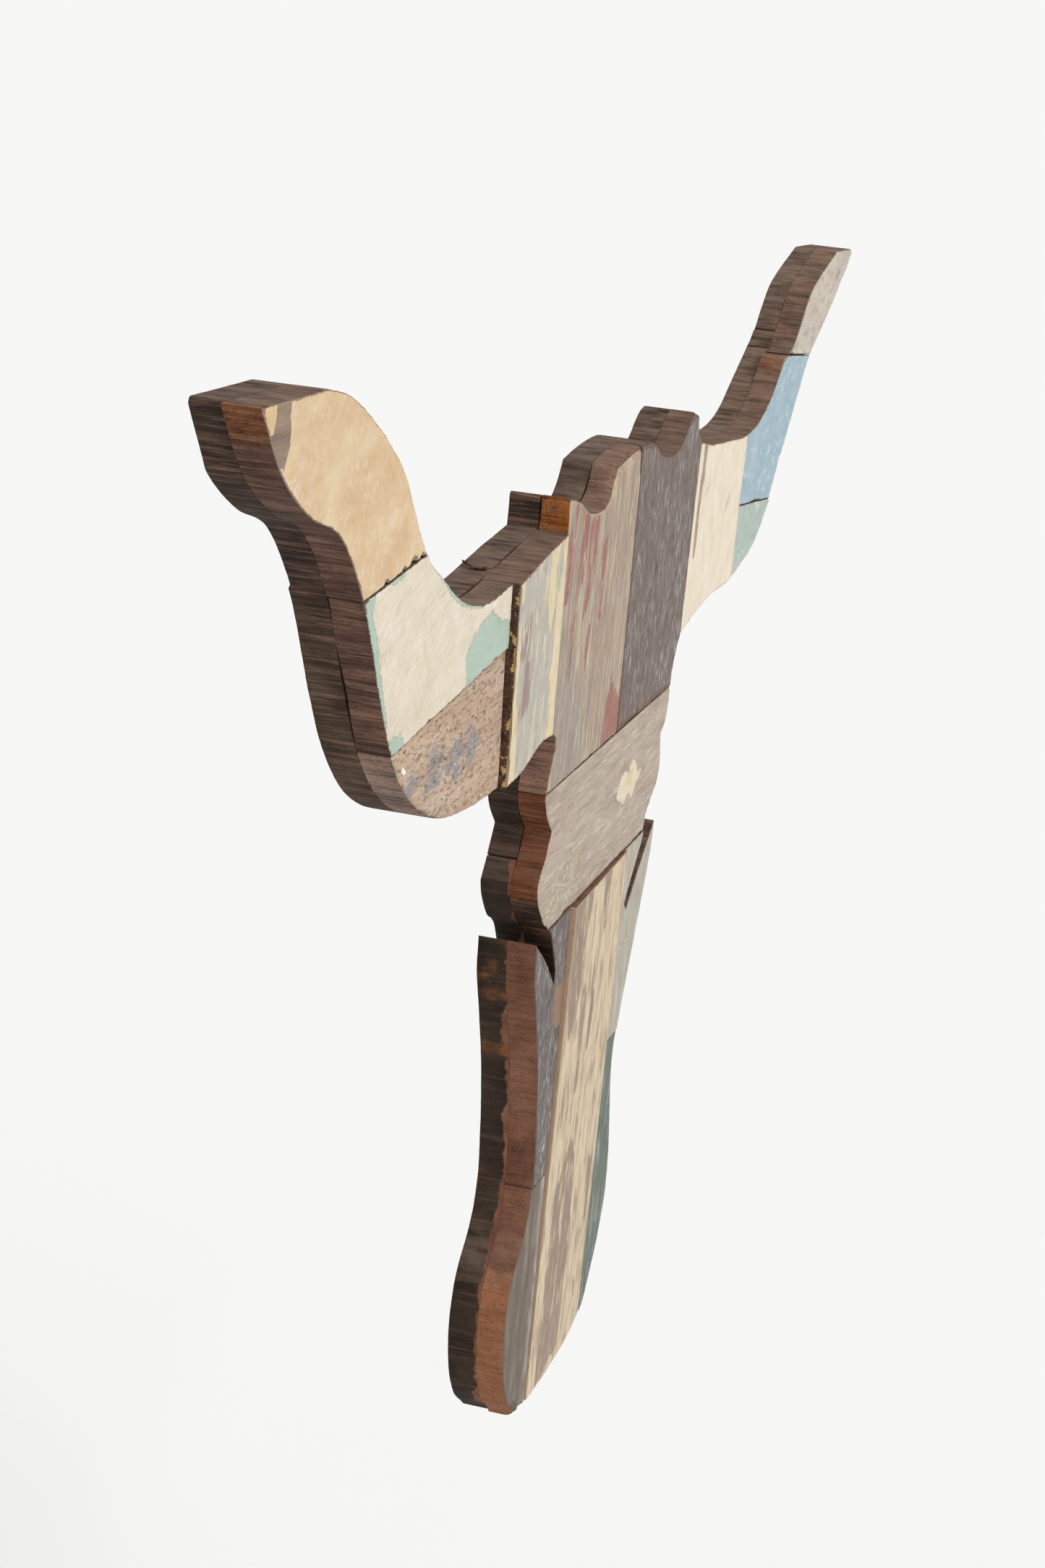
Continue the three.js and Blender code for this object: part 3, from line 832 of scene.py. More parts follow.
def cream_over_mint():
    """Cream paint with hairline scratches, flaked off to mint at the edges and by the head."""
    hairlines = [
        paint("#a8946e", size=0.45, stretch=60, turn=turn, level=level, soft=0.03, amount=0.8, detail=2,
              zone="-zone_a", thick=-0.04)
        for turn, level in ((38, 0.62), (-52, 0.64), (12, 0.65))
    ]
    layers = [
        paint("#a8b8a8 #aebeaf #a0b1a1", thick=0.12),
        paint("#8ea092", size=3, level=0.62, soft=0.04, amount=0.5),
        paint("#574e42", zone="-zone_a", ragged=1.7, ragged_seed=9, ragged_size=2.8, shift=-0.35,
              zone_soft=0.1, amount=0.55),
        paint("#d5c9b4 #dacfbb #dfd6c4", zone="-zone_a", ragged=1.7, ragged_seed=9, ragged_size=2.8,
              thick=0.28),
        paint("#dad0bc", zone="zone_b", ragged=0.5, thick=0.2),
        *hairlines,
        paint("#cabd9f", size=9, stretch=2, level=0.56, soft=0.1, amount=0.45, zone="-zone_a"),
        paint("#82705c", size=1.5, level=0.7, soft=0.02, amount=0.6, zone="-zone_a"),
    ]
    return dict(
        slot="paint_cream_mint",
        wear=0.8,
        zone_a=[
            [(-394, 464), (-376, 464), (-374, 458), (-381, 453), (-390, 450)],
            ([(-382, 455), (-371, 442), (-362, 425), (-352, 409)], 3.6, 1.4),
            [(-350, 394), (-331, 395), (-329, 399), (-337, 402), (-345, 402)],
            ([(-356, 463), (-344, 464)], 1.9),
            ([(-312, 464), (-297, 456), (-283, 446), (-268, 439), (-240, 433)], 2.6, 1.8),
            [(-275, 396), (-253, 404), (-256, 409), (-258, 415), (-250, 421), (-240, 425), (-226, 427.5),
             (-219, 424), (-208, 420), (-190, 417), (-190, 400)],
        ],
        zone_b=[([(-226, 429), (-222, 430)], 1.4)],
        chips=[(-300, 399, 3, 1.0), (-232, 403, 4, 1.2), (-384, 459, 4, 1.6), (-216, 405, 3, 1.0)],
        gaps=[(-360, 418, 26, 2.2), (-386, 459, 12, 1.2), (-215, 433, 28, 1.6)],
        finish=worn_paint("cream_over_mint", "#706155 #857364", layers, ALONG_X, seed=8, bare=0.1,
                          grain_depth=0.13, saw=1.15),
    )


def pitted_horn_root():
    """Bare grey-brown wood, pitted all over, with blue-grey stains."""
    layers = [
        paint("#c9a78d #bd9a80", size=9, stretch=2.5, level=0.55, soft=0.08, amount=0.5),
        paint("#7d8087 #8b8d92 #6f727a", zone="zone_a", size=4.5, stretch=2.4, level=0.45, soft=0.03,
              ragged=3.2, ragged_size=5, zone_soft=1.2, amount=0.75, thick=-0.15),
        paint("#8c7361 #7c6453", size=1.9, stretch=3.2, level=0.59, soft=0.05, amount=0.75, thick=-0.3,
              detail=3, edge=False),
        paint("#5a4538 #67503f", size=1.5, stretch=3, level=0.66, soft=0.03, amount=0.85, thick=-0.35,
              detail=4, edge=False),
        paint("#d0bfae", size=1.4, stretch=2, level=0.62, soft=0.03, amount=0.6, thick=0.08),
        paint("#ece6dc", zone="zone_b", ragged=0.4, thick=0.3, edge=False),
    ]
    return dict(
        slot="bare_brown_grey",
        wear=1.6,
        zone_a=[
            [(-298, 370), (-292, 385), (-279, 388), (-272, 377), (-283, 368)],
            [(-274, 370), (-262, 383), (-236, 382), (-226, 374), (-240, 367), (-258, 366)],
            [(-323, 378), (-314, 384), (-306, 377), (-314, 371)],
        ],
        zone_b=[([(-327, 386), (-323, 384.5)], 1.2)],
        chips=[(-328, 384, 6, 2.4), (-312, 373, 8, 2.8), (-296, 361, 8, 2.8), (-282, 357, 6, 2.0)],
        dents=[
            (-285, 378, 10, 5, 0.35),
            (-250, 375, 18, 4, 0.3),
            (-305, 385, 6, 3, 0.3),
            (-220, 388, 7, 3, 0.3),
        ],
        finish=worn_paint("pitted_horn_root", "#ae927c #b9a18b #c3b09d", layers, ALONG_X, seed=15,
                          bare=-1.5, rough=0.8, grain_depth=0.3, tones="#69554a #7c685c #8e796c",
                          saw=1.2),
    )


def streaked_cheek():
    """Grey-blue under cream and yellow streaks, with mauve smears."""
    layers = [
        paint("#b9b1a1 #b3ada1 #c4bba9", thick=0.08),
        paint("#a3a39d #adaca5", size=5, stretch=4, level=0.53, soft=0.06, amount=0.8),
        paint("#977f78 #907570", zone="zone_b", ragged=3.0, ragged_size=4, ragged_stretch=5,
              zone_soft=1.2, amount=0.75),
        paint("#a08571", size=3.2, stretch=6, level=0.6, soft=0.04, amount=0.7),
        paint("#d8c9a8 #d5c49d #d9ceb6", zone="zone_a", ragged=4.6, ragged_size=4, ragged_stretch=5,
              thick=0.25, zone_soft=0.3),
        paint("#d9ccb0 #d5cab1", size=2.6, stretch=7, level=0.565, soft=0.03, thick=0.15, amount=0.8),
        paint("#765644", size=1.3, stretch=8, level=0.645, soft=0.02, amount=0.7, thick=-0.2),
    ]
    return dict(
        slot="paint_cream_blue",
        wear=1.3,
        zone_a=[
            [(-200, 446), (-191, 446), (-191, 425), (-195, 423)],
            [(-200, 408), (-190, 408), (-189, 392), (-198, 392)],
            [(-200, 386), (-190, 388), (-184, 366), (-178, 340), (-200, 340)],
            [(-150, 446), (-134, 446), (-133, 400), (-131, 352), (-122, 346), (-112, 350), (-112, 446),
             (-126, 446), (-128, 420), (-140, 400), (-147, 416)],
        ],
        zone_b=[
            [(-194, 398), (-188, 417), (-176, 416), (-175, 400)],
            [(-183, 372), (-180, 397), (-169, 397), (-168, 376)],
        ],
        chips=[(-195, 372, 8, 1.8), (-194, 356, 8, 2.2), (-199, 430, 5, 1.4), (-197, 400, 5, 1.2)],
        gaps=[(-160, 437, 20, 1.2)],
        # Its rim is painted shade: near black on the front of its proud left side.
        finish=worn_paint("streaked_cheek", "#7b6453 #927863", layers, ALONG_Z, seed=23, bare=0.5,
                          grain_depth=0.16, rim=(2.6, "#2b211b #4a382b #6a5138"),
                          drips=(0.5, "#a58650 #b99a64 #856a43")),
    )


def red_streaked_crown():
    """Olive-cream wood with long streaks of dull red and grey."""
    layers = [
        paint("#94877e #9c8f85 #8a7e77", size=3.6, stretch=10, level=0.51, soft=0.05, amount=0.8),
        paint("#c9bb9f #bfb095", size=2.2, stretch=12, level=0.565, soft=0.03, thick=0.1, amount=0.85),
        paint("#935f5a #a0706a", zone="zone_a", size=2.4, stretch=8, level=0.45, soft=0.03, ragged=4.0,
              ragged_size=3.2, ragged_stretch=9, amount=0.95, thick=0.08, zone_soft=0.8),
        paint("#a57d74 #9c726b", size=1.6, stretch=14, level=0.63, soft=0.02, amount=0.7, thick=0.06),
        paint("#94918d #8d8781", zone="zone_c", size=4, stretch=6, level=0.48, soft=0.05, ragged=5.0,
              ragged_size=4, ragged_stretch=7, amount=0.65, zone_soft=2.0),
        paint("#94605a #a06f67", zone="zone_b", ragged=2.5, ragged_size=3, ragged_stretch=6, amount=0.85,
              thick=0.08, zone_soft=0.5),
        paint("#74594a", size=1.1, stretch=18, level=0.625, soft=0.02, amount=0.75, thick=-0.2),
        paint("#8d8278", size=0.8, stretch=5, level=0.6, soft=0.04, amount=0.5, thick=-0.08),
    ]
    return dict(
        slot="paint_red_olive",
        wear=1.5,
        zone_a=[
            [(-117, 440), (-104, 458), (-103, 425), (-109, 408), (-117, 410)],
            [(-96, 452), (-84, 446), (-85, 415), (-92, 408)],
            [(-81, 442), (-66, 442), (-70, 402), (-80, 397)],
            [(-55, 425), (-44, 430), (-47, 390), (-54, 392)],
            [(-100, 398), (-95, 398), (-96, 372), (-100, 374)],
            [(-72, 388), (-62, 392), (-66, 372), (-72, 376)],
        ],
        zone_b=[[(-24, 321), (-19, 348), (-8, 352), (2, 344), (11, 340), (11, 321)]],
        zone_c=[[(-118, 346), (-118, 400), (-92, 386), (-60, 345), (-60, 321), (-112, 321)]],
        chips=[(-119, 456, 8, 2.2), (-42, 450, 16, 2.5), (-22, 461, 26, 5.0), (0, 462, 16, 3.5)],
        gaps=[(-119, 450, 12, 2.0), (-45, 448, 14, 1.4)],
        warm_wood_and_shade=[[(-124, 462), (-112, 462), (-112, 438), (-124, 438)]],
        finish=worn_paint("red_streaked_crown", "#a08c79 #ae9984 #baa891", layers, ALONG_Z, seed=34,
                          bare=0.6, grain_depth=0.22, warm_wood_and_shade=WARM_ORANGE, tones="#5c463b #75594b #8a6b5a"),
    )


def purple_grey_crown():
    """Purple-grey with fine pale flecks along the grain and a bare brown foot."""
    layers = [
        paint("#6b5f59 #756760 #655854", thick=0.05),
        paint("#584c49", size=2.0, stretch=5, level=0.56, soft=0.05, amount=0.7, thick=-0.08),
        paint("#8f837c #958b82", size=1.3, stretch=3.4, level=0.58, soft=0.03, amount=0.65, thick=0.1,
              detail=4),
        paint("#785f4f #6c5343", zone="zone_a", ragged=1.4, ragged_size=4, amount=0.85),
    ]
    return dict(
        slot="paint_purple_grey",
        wear=1.4,
        zone_a=[[(0, 318), (0, 327), (60, 326.5), (130, 327), (130, 318)]],
        chips=[(20, 462, 18, 2.6), (45, 454, 10, 1.6), (112, 465, 14, 1.8)],
        finish=worn_paint("purple_grey_crown", "#685850 #726159", layers, ALONG_Z, seed=41, bare=0.7,
                          grain_depth=0.25, tones="#402e25 #513d32 #614b3e"),
    )


def ivory_cheek():
    """Ivory paint, brown where it is worn into a groove along the left edge."""
    layers = [
        paint("#d9cbb6 #dfd2be #e3d9c7", thick=0.18),
        paint("#cbbb9e", size=7, stretch=3, level=0.56, soft=0.07, amount=0.55),
        paint("#8b755f #a08a73 #78614e", zone="zone_a", ragged=1.8, ragged_size=4, ragged_stretch=5,
              thick=-0.2, zone_soft=0.4, amount=0.85),
        paint("#81776d", zone="zone_b", ragged=1.4, zone_soft=0.8, amount=0.5),
        paint("#af987c", size=1.6, stretch=7, level=0.63, soft=0.03, amount=0.6),
    ]
    return dict(
        slot="paint_ivory",
        zone_a=[([(145, 455), (144, 440), (141, 420), (139.5, 400), (138.5, 388)], 5.0, 1.8)],
        zone_b=[([(207, 403), (211, 408)], 2.4), ([(154, 418), (156, 420)], 1.6)],
        grooves=[([(145, 452), (142, 425), (139, 400)], 3.4, 0.35)],
        finish=worn_paint("ivory_cheek", "#8b715c #9c836c", layers, ALONG_Z, seed=52, bare=0.4),
    )


def light_blue_horn():
    """Light blue paint, a little mottled, chipped at its outer edge."""
    layers = [
        paint("#93a9b4 #9bafb9 #a2b5bd", zone="-zone_a", ragged=1.2, thick=0.2),
        paint("#8aa1ad", size=6, stretch=2, level=0.56, soft=0.06, amount=0.6),
        paint("#b7c1c1", size=2.0, level=0.62, soft=0.03, amount=0.5),
        paint("#7d756a", size=1.6, level=0.68, soft=0.02, amount=0.7, thick=-0.15),
    ]
    return dict(
        slot="paint_light_blue",
        zone_a=[[(338, 402), (350, 404), (350, 412), (340, 410)]],
        chips=[(343, 407, 5, 2.0), (285, 394, 14, 1.6), (329, 470, 10, 1.6)],
        warm_wood_and_shade=[[(318, 462), (350, 462), (350, 480), (318, 480)]],
        finish=worn_paint("light_blue_horn", "#7d6b5a #8e7b68", layers, ALONG_X, seed=61, bare=0.3),
    )


def mint_horn_root():
    """Mint-green paint with a strip of cream along the head."""
    layers = [
        paint("#a2b1a5 #a9b5ac #b0bbb1", thick=0.2),
        paint("#95a599", size=6, stretch=2, level=0.57, soft=0.06, amount=0.6),
        paint("#d0c5af #c9bda3", zone="zone_a", ragged=1.5, thick=0.15),
        paint("#776d5f", size=1.6, level=0.68, soft=0.02, amount=0.7, thick=-0.15),
    ]
    return dict(
        slot="paint_mint",
        zone_a=[[(234, 354), (245, 354), (246, 400), (238, 400)]],
        chips=[(270, 363, 8, 1.0)],
        finish=worn_paint("mint_horn_root", "#74614e #86725e", layers, ALONG_X, seed=70, bare=0.3),
    )


def chalky_horn_tip():
    """Chalky white with grey dirt and dark spots, faintly green low on the left."""
    layers = [
        paint("#baaea0 #c0b5a7 #c7bfb3", thick=0.18),
        paint("#adaf9f", zone="zone_b", ragged=5, ragged_size=8, zone_soft=4, amount=0.35),
        paint("#a5998c #998c81", size=5, stretch=3, level=0.57, soft=0.06, amount=0.6),
        paint("#72665d", zone="zone_a", ragged=1.6, zone_soft=0.8, amount=0.7),
        paint("#83786b", size=1.8, level=0.65, soft=0.03, amount=0.6, thick=-0.12),
    ]
    return dict(
        slot="paint_chalk",
        zone_a=[
            ([(457, 504), (470, 506)], 2.0),
            ([(478, 507), (486, 508)], 1.6),
            ([(429, 479), (432, 480)], 1.8),
        ],
        zone_b=[[(340, 466), (400, 460), (400, 480), (370, 486), (345, 478)]],
        chips=[(500, 512, 8, 1.6), (345, 471, 8, 1.4)],
        finish=worn_paint("chalky_horn_tip", "#8a7d72 #9d8f82", layers, ALONG_X, seed=77, bare=0.5,
                          tones="#48362b #5d4337 #6e5141"),
    )


def weathered_brow():
    """Weathered grey-beige wood with raised scraps of old cream paint."""
    layers = [
        paint("#9f9080 #968879", size=3.5, stretch=6, level=0.54, soft=0.08, amount=0.35),
        paint("#c0b2a0", size=3, stretch=5, level=0.58, soft=0.06, amount=0.35),
        paint("#877566", size=1.0, stretch=16, level=0.625, soft=0.03, amount=0.6, thick=-0.15,
              edge=False),
        paint("#8c7d6e", size=0.9, stretch=3, level=0.6, soft=0.04, amount=0.5, thick=-0.1),
        paint("#c3b59e #cbbea7", zone="zone_b", size=2.6, stretch=1.6, level=0.54, soft=0.03, ragged=2.0,
              ragged_size=3, zone_soft=0.8, thick=0.3, amount=0.8),
        paint("#c2b39a #cbbea6", zone="zone_c", ragged=2.6, ragged_size=2.2, thick=0.3, zone_soft=0.5,
              amount=0.85),
        paint("#d3c4aa #dbceb6 #cbbb9b", zone="zone_a", ragged=1.3, ragged_size=2.4, thick=0.35,
              zone_soft=0.2),
    ]
    return dict(
        slot="weathered_beige",
        wear=1.5,
        zone_a=[
            [(19, 288), (24, 296), (33, 299), (40, 296), (46, 302), (55, 298), (60, 292), (68, 293),
             (66, 289), (58, 286), (50, 280), (44, 286), (36, 281), (28, 284)],
        ],
        zone_c=[
            ([(-95, 262), (-88, 266)], 2.0),
            ([(-84, 257), (-79, 263), (-80, 268)], 1.6),
            ([(-72, 270), (-66, 276), (-61, 272)], 1.5),
            ([(-68, 258), (-58, 262)], 1.5),
            ([(-55, 268), (-49, 274), (-50, 279)], 1.6),
            ([(-47, 260), (-41, 266)], 1.5),
            ([(-90, 275), (-84, 277)], 1.4),
            ([(-77, 281), (-71, 284)], 1.2),
        ],
        zone_b=[
            ([(-14, 309), (-12, 301), (-9, 296), (-9, 288)], 1.8, 2.6),
            ([(5, 302.5), (16, 302), (30, 303)], 1.1),
            [(-97, 256), (-98, 272), (-84, 284), (-60, 286), (-42, 280), (-40, 258)],
        ],
        raised=[("zone_a", 0.5), ("zone_b", 0.15), ("zone_c", 0.3)],
        chips=[(-108, 306, 5, 1.2), (-109, 284, 6, 1.4), (-60, 253, 12, 1.2)],
        gaps=[(-108, 300, 14, 1.2)],
        warm_wood_and_shade=[[(-116, 326), (-98, 326), (-92, 272), (-116, 272)]],
        # Its sides are near black outside the warm zone: dark wood, with painted shade of the notch under
        # the brow.
        finish=worn_paint("weathered_brow", "#a79787 #b2a293 #baac9b", layers, ALONG_X, seed=85, bare=0.2,
                          grain_depth=0.22, warm_wood_and_shade="#552f1b #68381e #5b3420",
                          tones="#201712 #32241c #413026", saw=0.7),
    )


def grey_blue_muzzle():
    """Grey-blue with a pinkish-brown bare patch at the upper right and two white spots."""
    layers = [
        paint("#675f5b #6f6662 #5f5755", thick=0.06),
        paint("#807771", size=1.6, stretch=3.6, level=0.58, soft=0.04, amount=0.4, thick=0.08),
        paint("#514a46", size=1.8, stretch=4, level=0.585, soft=0.04, amount=0.6, thick=-0.08),
        paint("#897060 #937966", zone="zone_a", ragged=1.8, ragged_size=4, thick=-0.1, zone_soft=0.4),
        paint("#b2a9a0", zone="zone_b", ragged=0.8, thick=0.12, zone_soft=0.4),
    ]
    return dict(
        slot="paint_grey_blue",
        wear=1.2,
        # The warm zone here is painted shadow: the notch's sides under the brow are painted near black.
        warm_wood_and_shade=[[(-88, 257), (-78, 257), (-62, 228), (-62, 216), (-73, 216), (-73, 228)]],
        zone_a=[[(-67, 218), (-49, 218), (-49, 196), (-60, 195), (-66, 203)]],
        zone_b=[([(-61, 135), (-59, 136)], 1.3), ([(-58, 123), (-57, 125)], 1.1)],
        # Its warm tones are near black, as painted shadow in the notch.
        finish=worn_paint("grey_blue_muzzle", "#60554f #6b6058", layers, ALONG_Z, seed=93, bare=0.6,
                          grain_depth=0.2, tones=SIDE_MAHOGANY, warm_wood_and_shade="#1d130f #291c15 #32231b", saw=0.35,
                          mottle=0.25),
    )


def smooth_grey_olive():
    """Smooth grey-olive wood, hardly painted, darker along the middle plank."""
    layers = [
        paint("#695e53 #6f6357 #675a4f"),
        paint("#756a5c", size=6, stretch=9, level=0.56, soft=0.08, amount=0.25),
        paint("#5e5348", size=2.0, stretch=16, level=0.6, soft=0.05, amount=0.2),
        paint("#675344", zone="zone_a", ragged=2, ragged_size=6, ragged_stretch=4, zone_soft=4.0,
              amount=0.7),
    ]
    return dict(
        slot="paint_grey_olive",
        cut_corners=[(-62, 0, 17, -4.2)],
        chips=[(-68, 0, 15, 7.0)],
        zone_a=[([(-50, -6), (-50, 120)], 7.0)],
        warm_wood_and_shade=[[(-112, 84), (-90, 84), (-58, 12), (-45, -8), (-112, -8)]],
        finish=worn_paint("smooth_grey_olive", "#675c50 #6f6357", layers, ALONG_Z, seed=101, bare=0.3,
                          rough=0.66, tones=SIDE_MAHOGANY, warm_wood_and_shade=WARM_MAHOGANY, saw=0.35, mottle=0.25),
    )


def worn_cream_muzzle():
    """Cream worn through to brown in long streaks, standing a little proud at its upper left."""
    layers = [
        paint("#b7a48e #ab9882", size=4, stretch=10, level=0.5, soft=0.06, amount=0.8),
        paint("#c9b89b #d1c1a5 #c1af91", size=5, stretch=5, level=0.455, soft=0.05, thick=0.16,
              zone="-zone_a", ragged=1.8, ragged_size=4, ragged_stretch=4),
        paint("#b39e88 #ab9783", size=2.4, stretch=12, level=0.57, soft=0.06, amount=0.55, thick=-0.06),
        paint("#8b796e #968374", zone="zone_b", size=4.5, stretch=5, level=0.42, soft=0.06, ragged=3.5,
              ragged_size=5, ragged_stretch=5, amount=0.9, zone_soft=0.8, thick=-0.1),
        paint("#94705f", zone="zone_c", ragged=3.0, ragged_size=4, zone_soft=2.0, amount=0.6),
        paint("#7d6859", size=1.2, stretch=12, level=0.63, soft=0.03, amount=0.65, thick=-0.15),
    ]
    return dict(
        slot="paint_worn_cream",
        wear=0.7,
        zone_a=[[(-52, 190), (-48, 190), (-45, 225), (-43, 256), (-52, 256)]],
        zone_b=[
            [(-34, -2), (6, 4), (8, 60), (2, 108), (-12, 122), (-34, 100)],
            [(-47, 256), (-47, 204), (-38, 180), (-26, 196), (-18, 256)],
            ([(-14, 200), (-13, 150)], 4.0, 2.4),
            ([(4, 192), (4, 168)], 2.2),
            ([(38, 92), (40, 62)], 4.0),
            ([(12, 252), (14, 226)], 7.0, 3.0),
        ],
        zone_c=[[(30, -6), (56, -6), (56, 14), (40, 9)]],
        # Its rim is painted light: the left side is paler, so that its shade does not show as a dark line.
        finish=worn_paint("worn_cream_muzzle", "#978476 #a5927f #b09d89", layers, ALONG_Z, seed=110,
                          bare=0.4, grain_depth=0.18, tones=SIDE_MAHOGANY,
                          rim=(3.2, "#a98c72 #b69a7f #9c8067"), saw=0.35),
    )


def pale_mint_muzzle():
    """Pale mint over grey-brown, with one dark line across."""
    layers = [
        paint("#a69e8f #aca697 #9e9787", thick=0.12),
        paint("#948879", size=4, stretch=7, level=0.55, soft=0.06, amount=0.6),
        paint("#50453b", zone="zone_a", ragged=0.3, thick=-0.2),
    ]
    return dict(
        slot="paint_pale_mint",
        zone_a=[([(54, 200.5), (72, 200.5)], 0.8)],
        finish=worn_paint("pale_mint_muzzle", "#84776d #928475", layers, ALONG_Z, seed=121, bare=0.4),
    )


def green_grey_muzzle():
    """Dark green-grey paint, paler towards its top."""
    layers = [
        paint("#666f66 #6e756c #606860", thick=0.12),
        paint("#7d847d", size=5, stretch=6, level=0.57, soft=0.06, amount=0.5),
    ]
    return dict(
        slot="paint_green_grey",
        finish=worn_paint("green_grey_muzzle", "#696258 #756e63", layers, ALONG_Z, seed=130, bare=0.4),
    )


PLANKS = {
    "plank_left_horn_tip": buff_horn_tip,
    "plank_left_horn_middle": cream_over_mint,
    "plank_left_horn_root": pitted_horn_root,
    "plank_left_cheek": streaked_cheek,
    "plank_crown_left": red_streaked_crown,
    "plank_crown_right": purple_grey_crown,
    "plank_right_cheek": ivory_cheek,
    "plank_right_horn_middle": light_blue_horn,
    "plank_right_horn_root": mint_horn_root,
    "plank_right_horn_tip": chalky_horn_tip,
    "plank_brow": weathered_brow,
    "plank_muzzle_left_upper": grey_blue_muzzle,
    "plank_muzzle_left_lower": smooth_grey_olive,
    "plank_muzzle_centre": worn_cream_muzzle,
    "plank_muzzle_right_upper": pale_mint_muzzle,
    "plank_muzzle_right_lower": green_grey_muzzle,
}

# ---- the backing boards, with the places where orange sapwood shows on their sides ----

BOARDS = {
    "board_left_horn_outer": dict(cut_corners=[(-497, 541, 12, 2.4)]),
    "board_left_horn_inner": dict(tones=BOARD_BROWN),
    "board_head_upper": dict(cut_corners=[(-119, 462, 6, 1.2)]),
    "board_head_lower": dict(tones=BOARD_BLACK, saw=0.5),
    "board_right_horn_inner": dict(tones=BOARD_BROWN),
    "board_right_horn_outer": dict(tones=BOARD_BROWN),
    "board_muzzle_left": dict(
        tones=BOARD_BLACK,
        cut_corners=[(-62, 0, 20, -3.0)],
        creep=(1.2, 4.5),
        saw=0.3,
        warm_wood_and_shade=[
            ([(-104, 240), (-99, 222)], 1.4),
            ([(-87, 196), (-88, 190)], 1.4),
            ([(-77, 124), (-77, 122)], 1.0),
        ],
    ),
    "board_muzzle_right": dict(tones=BOARD_BLACK, creep=(1.2, 4.5), saw=0.3),
}


def make_face_planks():
    for number, (node, describe) in enumerate(PLANKS.items()):
        style = describe()
        piece = slab(f"face_{node[6:]}", node, style, 3 + 17 * number)
        piece.data.materials.append(style["finish"])


def make_boards():
    screws = np.array([middle_of(name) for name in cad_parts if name.startswith("screw_")])
    for number, (node, style) in enumerate(BOARDS.items()):
        inside = screws[is_inside(screws, back_outline(node)[0])]
        style = {**style, "screw_holes": inside}
        piece = slab(f"backing_{node[6:]}", node, style, 300 + 17 * number)
        looks = {key: style[key] for key in ("tones", "creep", "saw") if key in style}
        piece.data.materials.append(dark_timber(f"dark_timber_{number + 1}", 200 + 9 * number, **looks))


SPLINTER_X = -187.0
SPLINTER_FOOT = 434.7  # its height where it leaves the board
SPLINTER_Y = (-12.5, -2.0)  # it runs back from the joint
SPLINTER_STEPS = 12
SPLINTER_DEPTH = 5.0  # its stored depth and warmth, so that it takes the finish of warm sawn wood


def make_splinter():
    """A torn sliver of the backing that stands up from the top edge of the left horn."""
    random.seed(5)
    points, faces = [], []
    for i in range(SPLINTER_STEPS):
        along = i / (SPLINTER_STEPS - 1)
        half = 0.3 + 1.9 * math.sin(math.pi * min(1, along * 1.15)) * (1 - 0.4 * along)
        foot = SPLINTER_FOOT - TIP_DROP + (0.3 + 2.2 * along**2 + random.uniform(-0.15, 0.15))
        thick = 0.35 + 0.5 * (1 - along)
        x = SPLINTER_X + random.uniform(-0.5, 0.5)
        y = SPLINTER_Y[0] + (SPLINTER_Y[1] - SPLINTER_Y[0]) * along
        for side, up in ((-1, 0), (1, 0), (1, 1), (-1, 1)):
            points.append((x + side * half, y, foot + up * thick - 0.5 * side))
    for start in range(0, 4 * (SPLINTER_STEPS - 1), 4):
        for k in range(4):
            a, b = start + k, start + (k + 1) % 4
            faces.append((a, b, b + 4, a + 4))
    last = 4 * (SPLINTER_STEPS - 1)
    faces += [(3, 2, 1, 0), tuple(range(last, last + 4))]
    mesh = bpy.data.meshes.new("backing_splinter")
    mesh.from_pydata([tuple(MM * value for value in point) for point in points], [], faces)
    tidy_normals(mesh)
    for name in ("edge_gap", "zone_a", "zone_b", "zone_c"):
        store(mesh, name, np.zeros(len(points)))
    for name in ("depth", "warm_wood_and_shade"):
        store(mesh, name, np.full(len(points), SPLINTER_DEPTH))
    piece = add_object("backing_splinter", mesh)
    mesh.materials.append(dark_timber("splinter_wood", 311))
    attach(piece, "plaque")


def middle_of(node):
    """The middle of a node as (x, height above the muzzle's tip), in mm."""
    low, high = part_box(node)
    return (low[0] + high[0]) / 2 / MM, (low[2] + high[2]) / 2 / MM + TIP_DROP


# ---- hardware on the back ----


BEVEL = 0.15


def bevel_node(node, finish):
    """Shows a CAD node itself, with its edges rounded over."""
    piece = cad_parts[node]
    bevel = piece.modifiers.new("rounded", "BEVEL")
    bevel.width = BEVEL * MM
    bevel.segments = 2
    bevel.limit_method = "ANGLE"
    bevel.angle_limit = math.radians(40)
    piece.data.materials.clear()
    piece.data.materials.append(finish)


def make_hardware():
    yellow = zinc("yellow_zinc_plate", "#a58a4a #c2a662 #b59a58", 401)
    bright = zinc("bright_zinc_plate", "#9b9c9e #b6b7b9 #a6a7a9", 411)
    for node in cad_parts:
        if node.startswith("screw_"):
            bevel_node(node, yellow)
        if node.startswith("hanger_"):
            bevel_node(node, bright)


# ---- studio ----

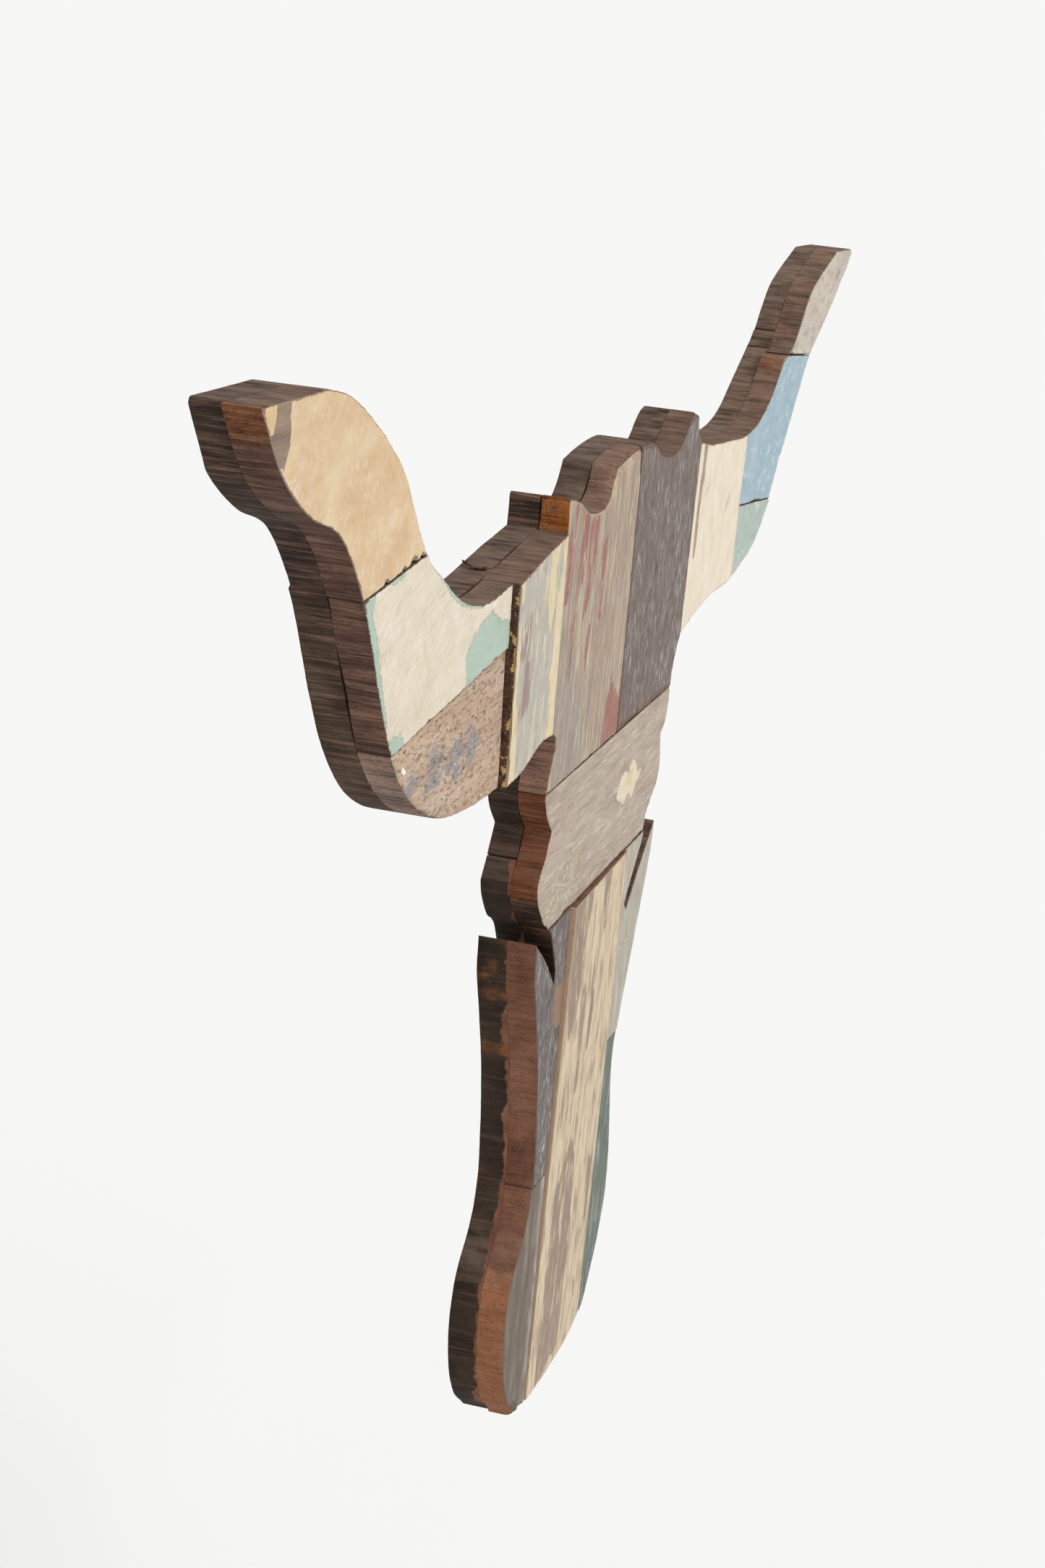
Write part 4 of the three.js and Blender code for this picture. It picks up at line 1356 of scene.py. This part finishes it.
CAMERA_PLACE = Vector((-1.3427, -0.3464, 0.3517))
CAMERA_AIM = Vector((-0.1582, -0.028, 0.0075))
CAMERA_ROLL = math.radians(5.129)
LENS = 68.96
SENSOR = 36
FLOOR_HALF = 400.0  # in metres, like the rest of the studio
FLOOR_HEIGHT = -0.75
SKY = 0.93
SUN = 1.05
SUN_FROM = Vector((-0.35, -0.75, 0.75))
SUN_SPREAD = math.radians(35)


def make_camera():
    camera = add_object("camera", bpy.data.cameras.new("camera"))
    camera.data.lens = LENS
    camera.data.sensor_width = SENSOR
    back = (CAMERA_PLACE - CAMERA_AIM).normalized()
    level = Vector((0, 0, 1)).cross(back).normalized()
    up = back.cross(level)
    side = math.cos(CAMERA_ROLL) * level + math.sin(CAMERA_ROLL) * up
    top = math.cos(CAMERA_ROLL) * up - math.sin(CAMERA_ROLL) * level
    camera.matrix_world = Matrix.Translation(CAMERA_PLACE) @ Matrix((side, top, back)).transposed().to_4x4()
    bpy.context.scene.camera = camera


def make_floor():
    mesh = bpy.data.meshes.new("floor")
    signs = ((-1, -1), (1, -1), (1, 1), (-1, 1))
    corners = [(x * FLOOR_HALF, y * FLOOR_HALF, FLOOR_HEIGHT) for x, y in signs]
    mesh.from_pydata(corners, [], [(0, 1, 2, 3)])
    floor = add_object("floor", mesh)
    paper = bpy.data.materials.new("pale_paper")
    paper.use_nodes = True
    shader = paper.node_tree.nodes["Principled BSDF"]
    shader.inputs["Base Color"].default_value = (0.8, 0.8, 0.795, 1.0)
    shader.inputs["Roughness"].default_value = 0.9
    mesh.materials.append(paper)


def make_light():
    world = bpy.data.worlds.new("studio")
    world.use_nodes = True
    background = world.node_tree.nodes["Background"]
    background.inputs["Color"].default_value = (1.0, 1.0, 1.0, 1.0)
    background.inputs["Strength"].default_value = SKY
    bpy.context.scene.world = world
    key = add_object("key", bpy.data.lights.new("key", "SUN"))
    key.data.energy = SUN
    key.data.angle = SUN_SPREAD
    key.rotation_euler = SUN_FROM.to_track_quat("Z", "Y").to_euler()
    bpy.context.scene.view_settings.view_transform = "Standard"


make_face_planks()
make_boards()
make_splinter()
make_hardware()
make_floor()
make_light()
make_camera()
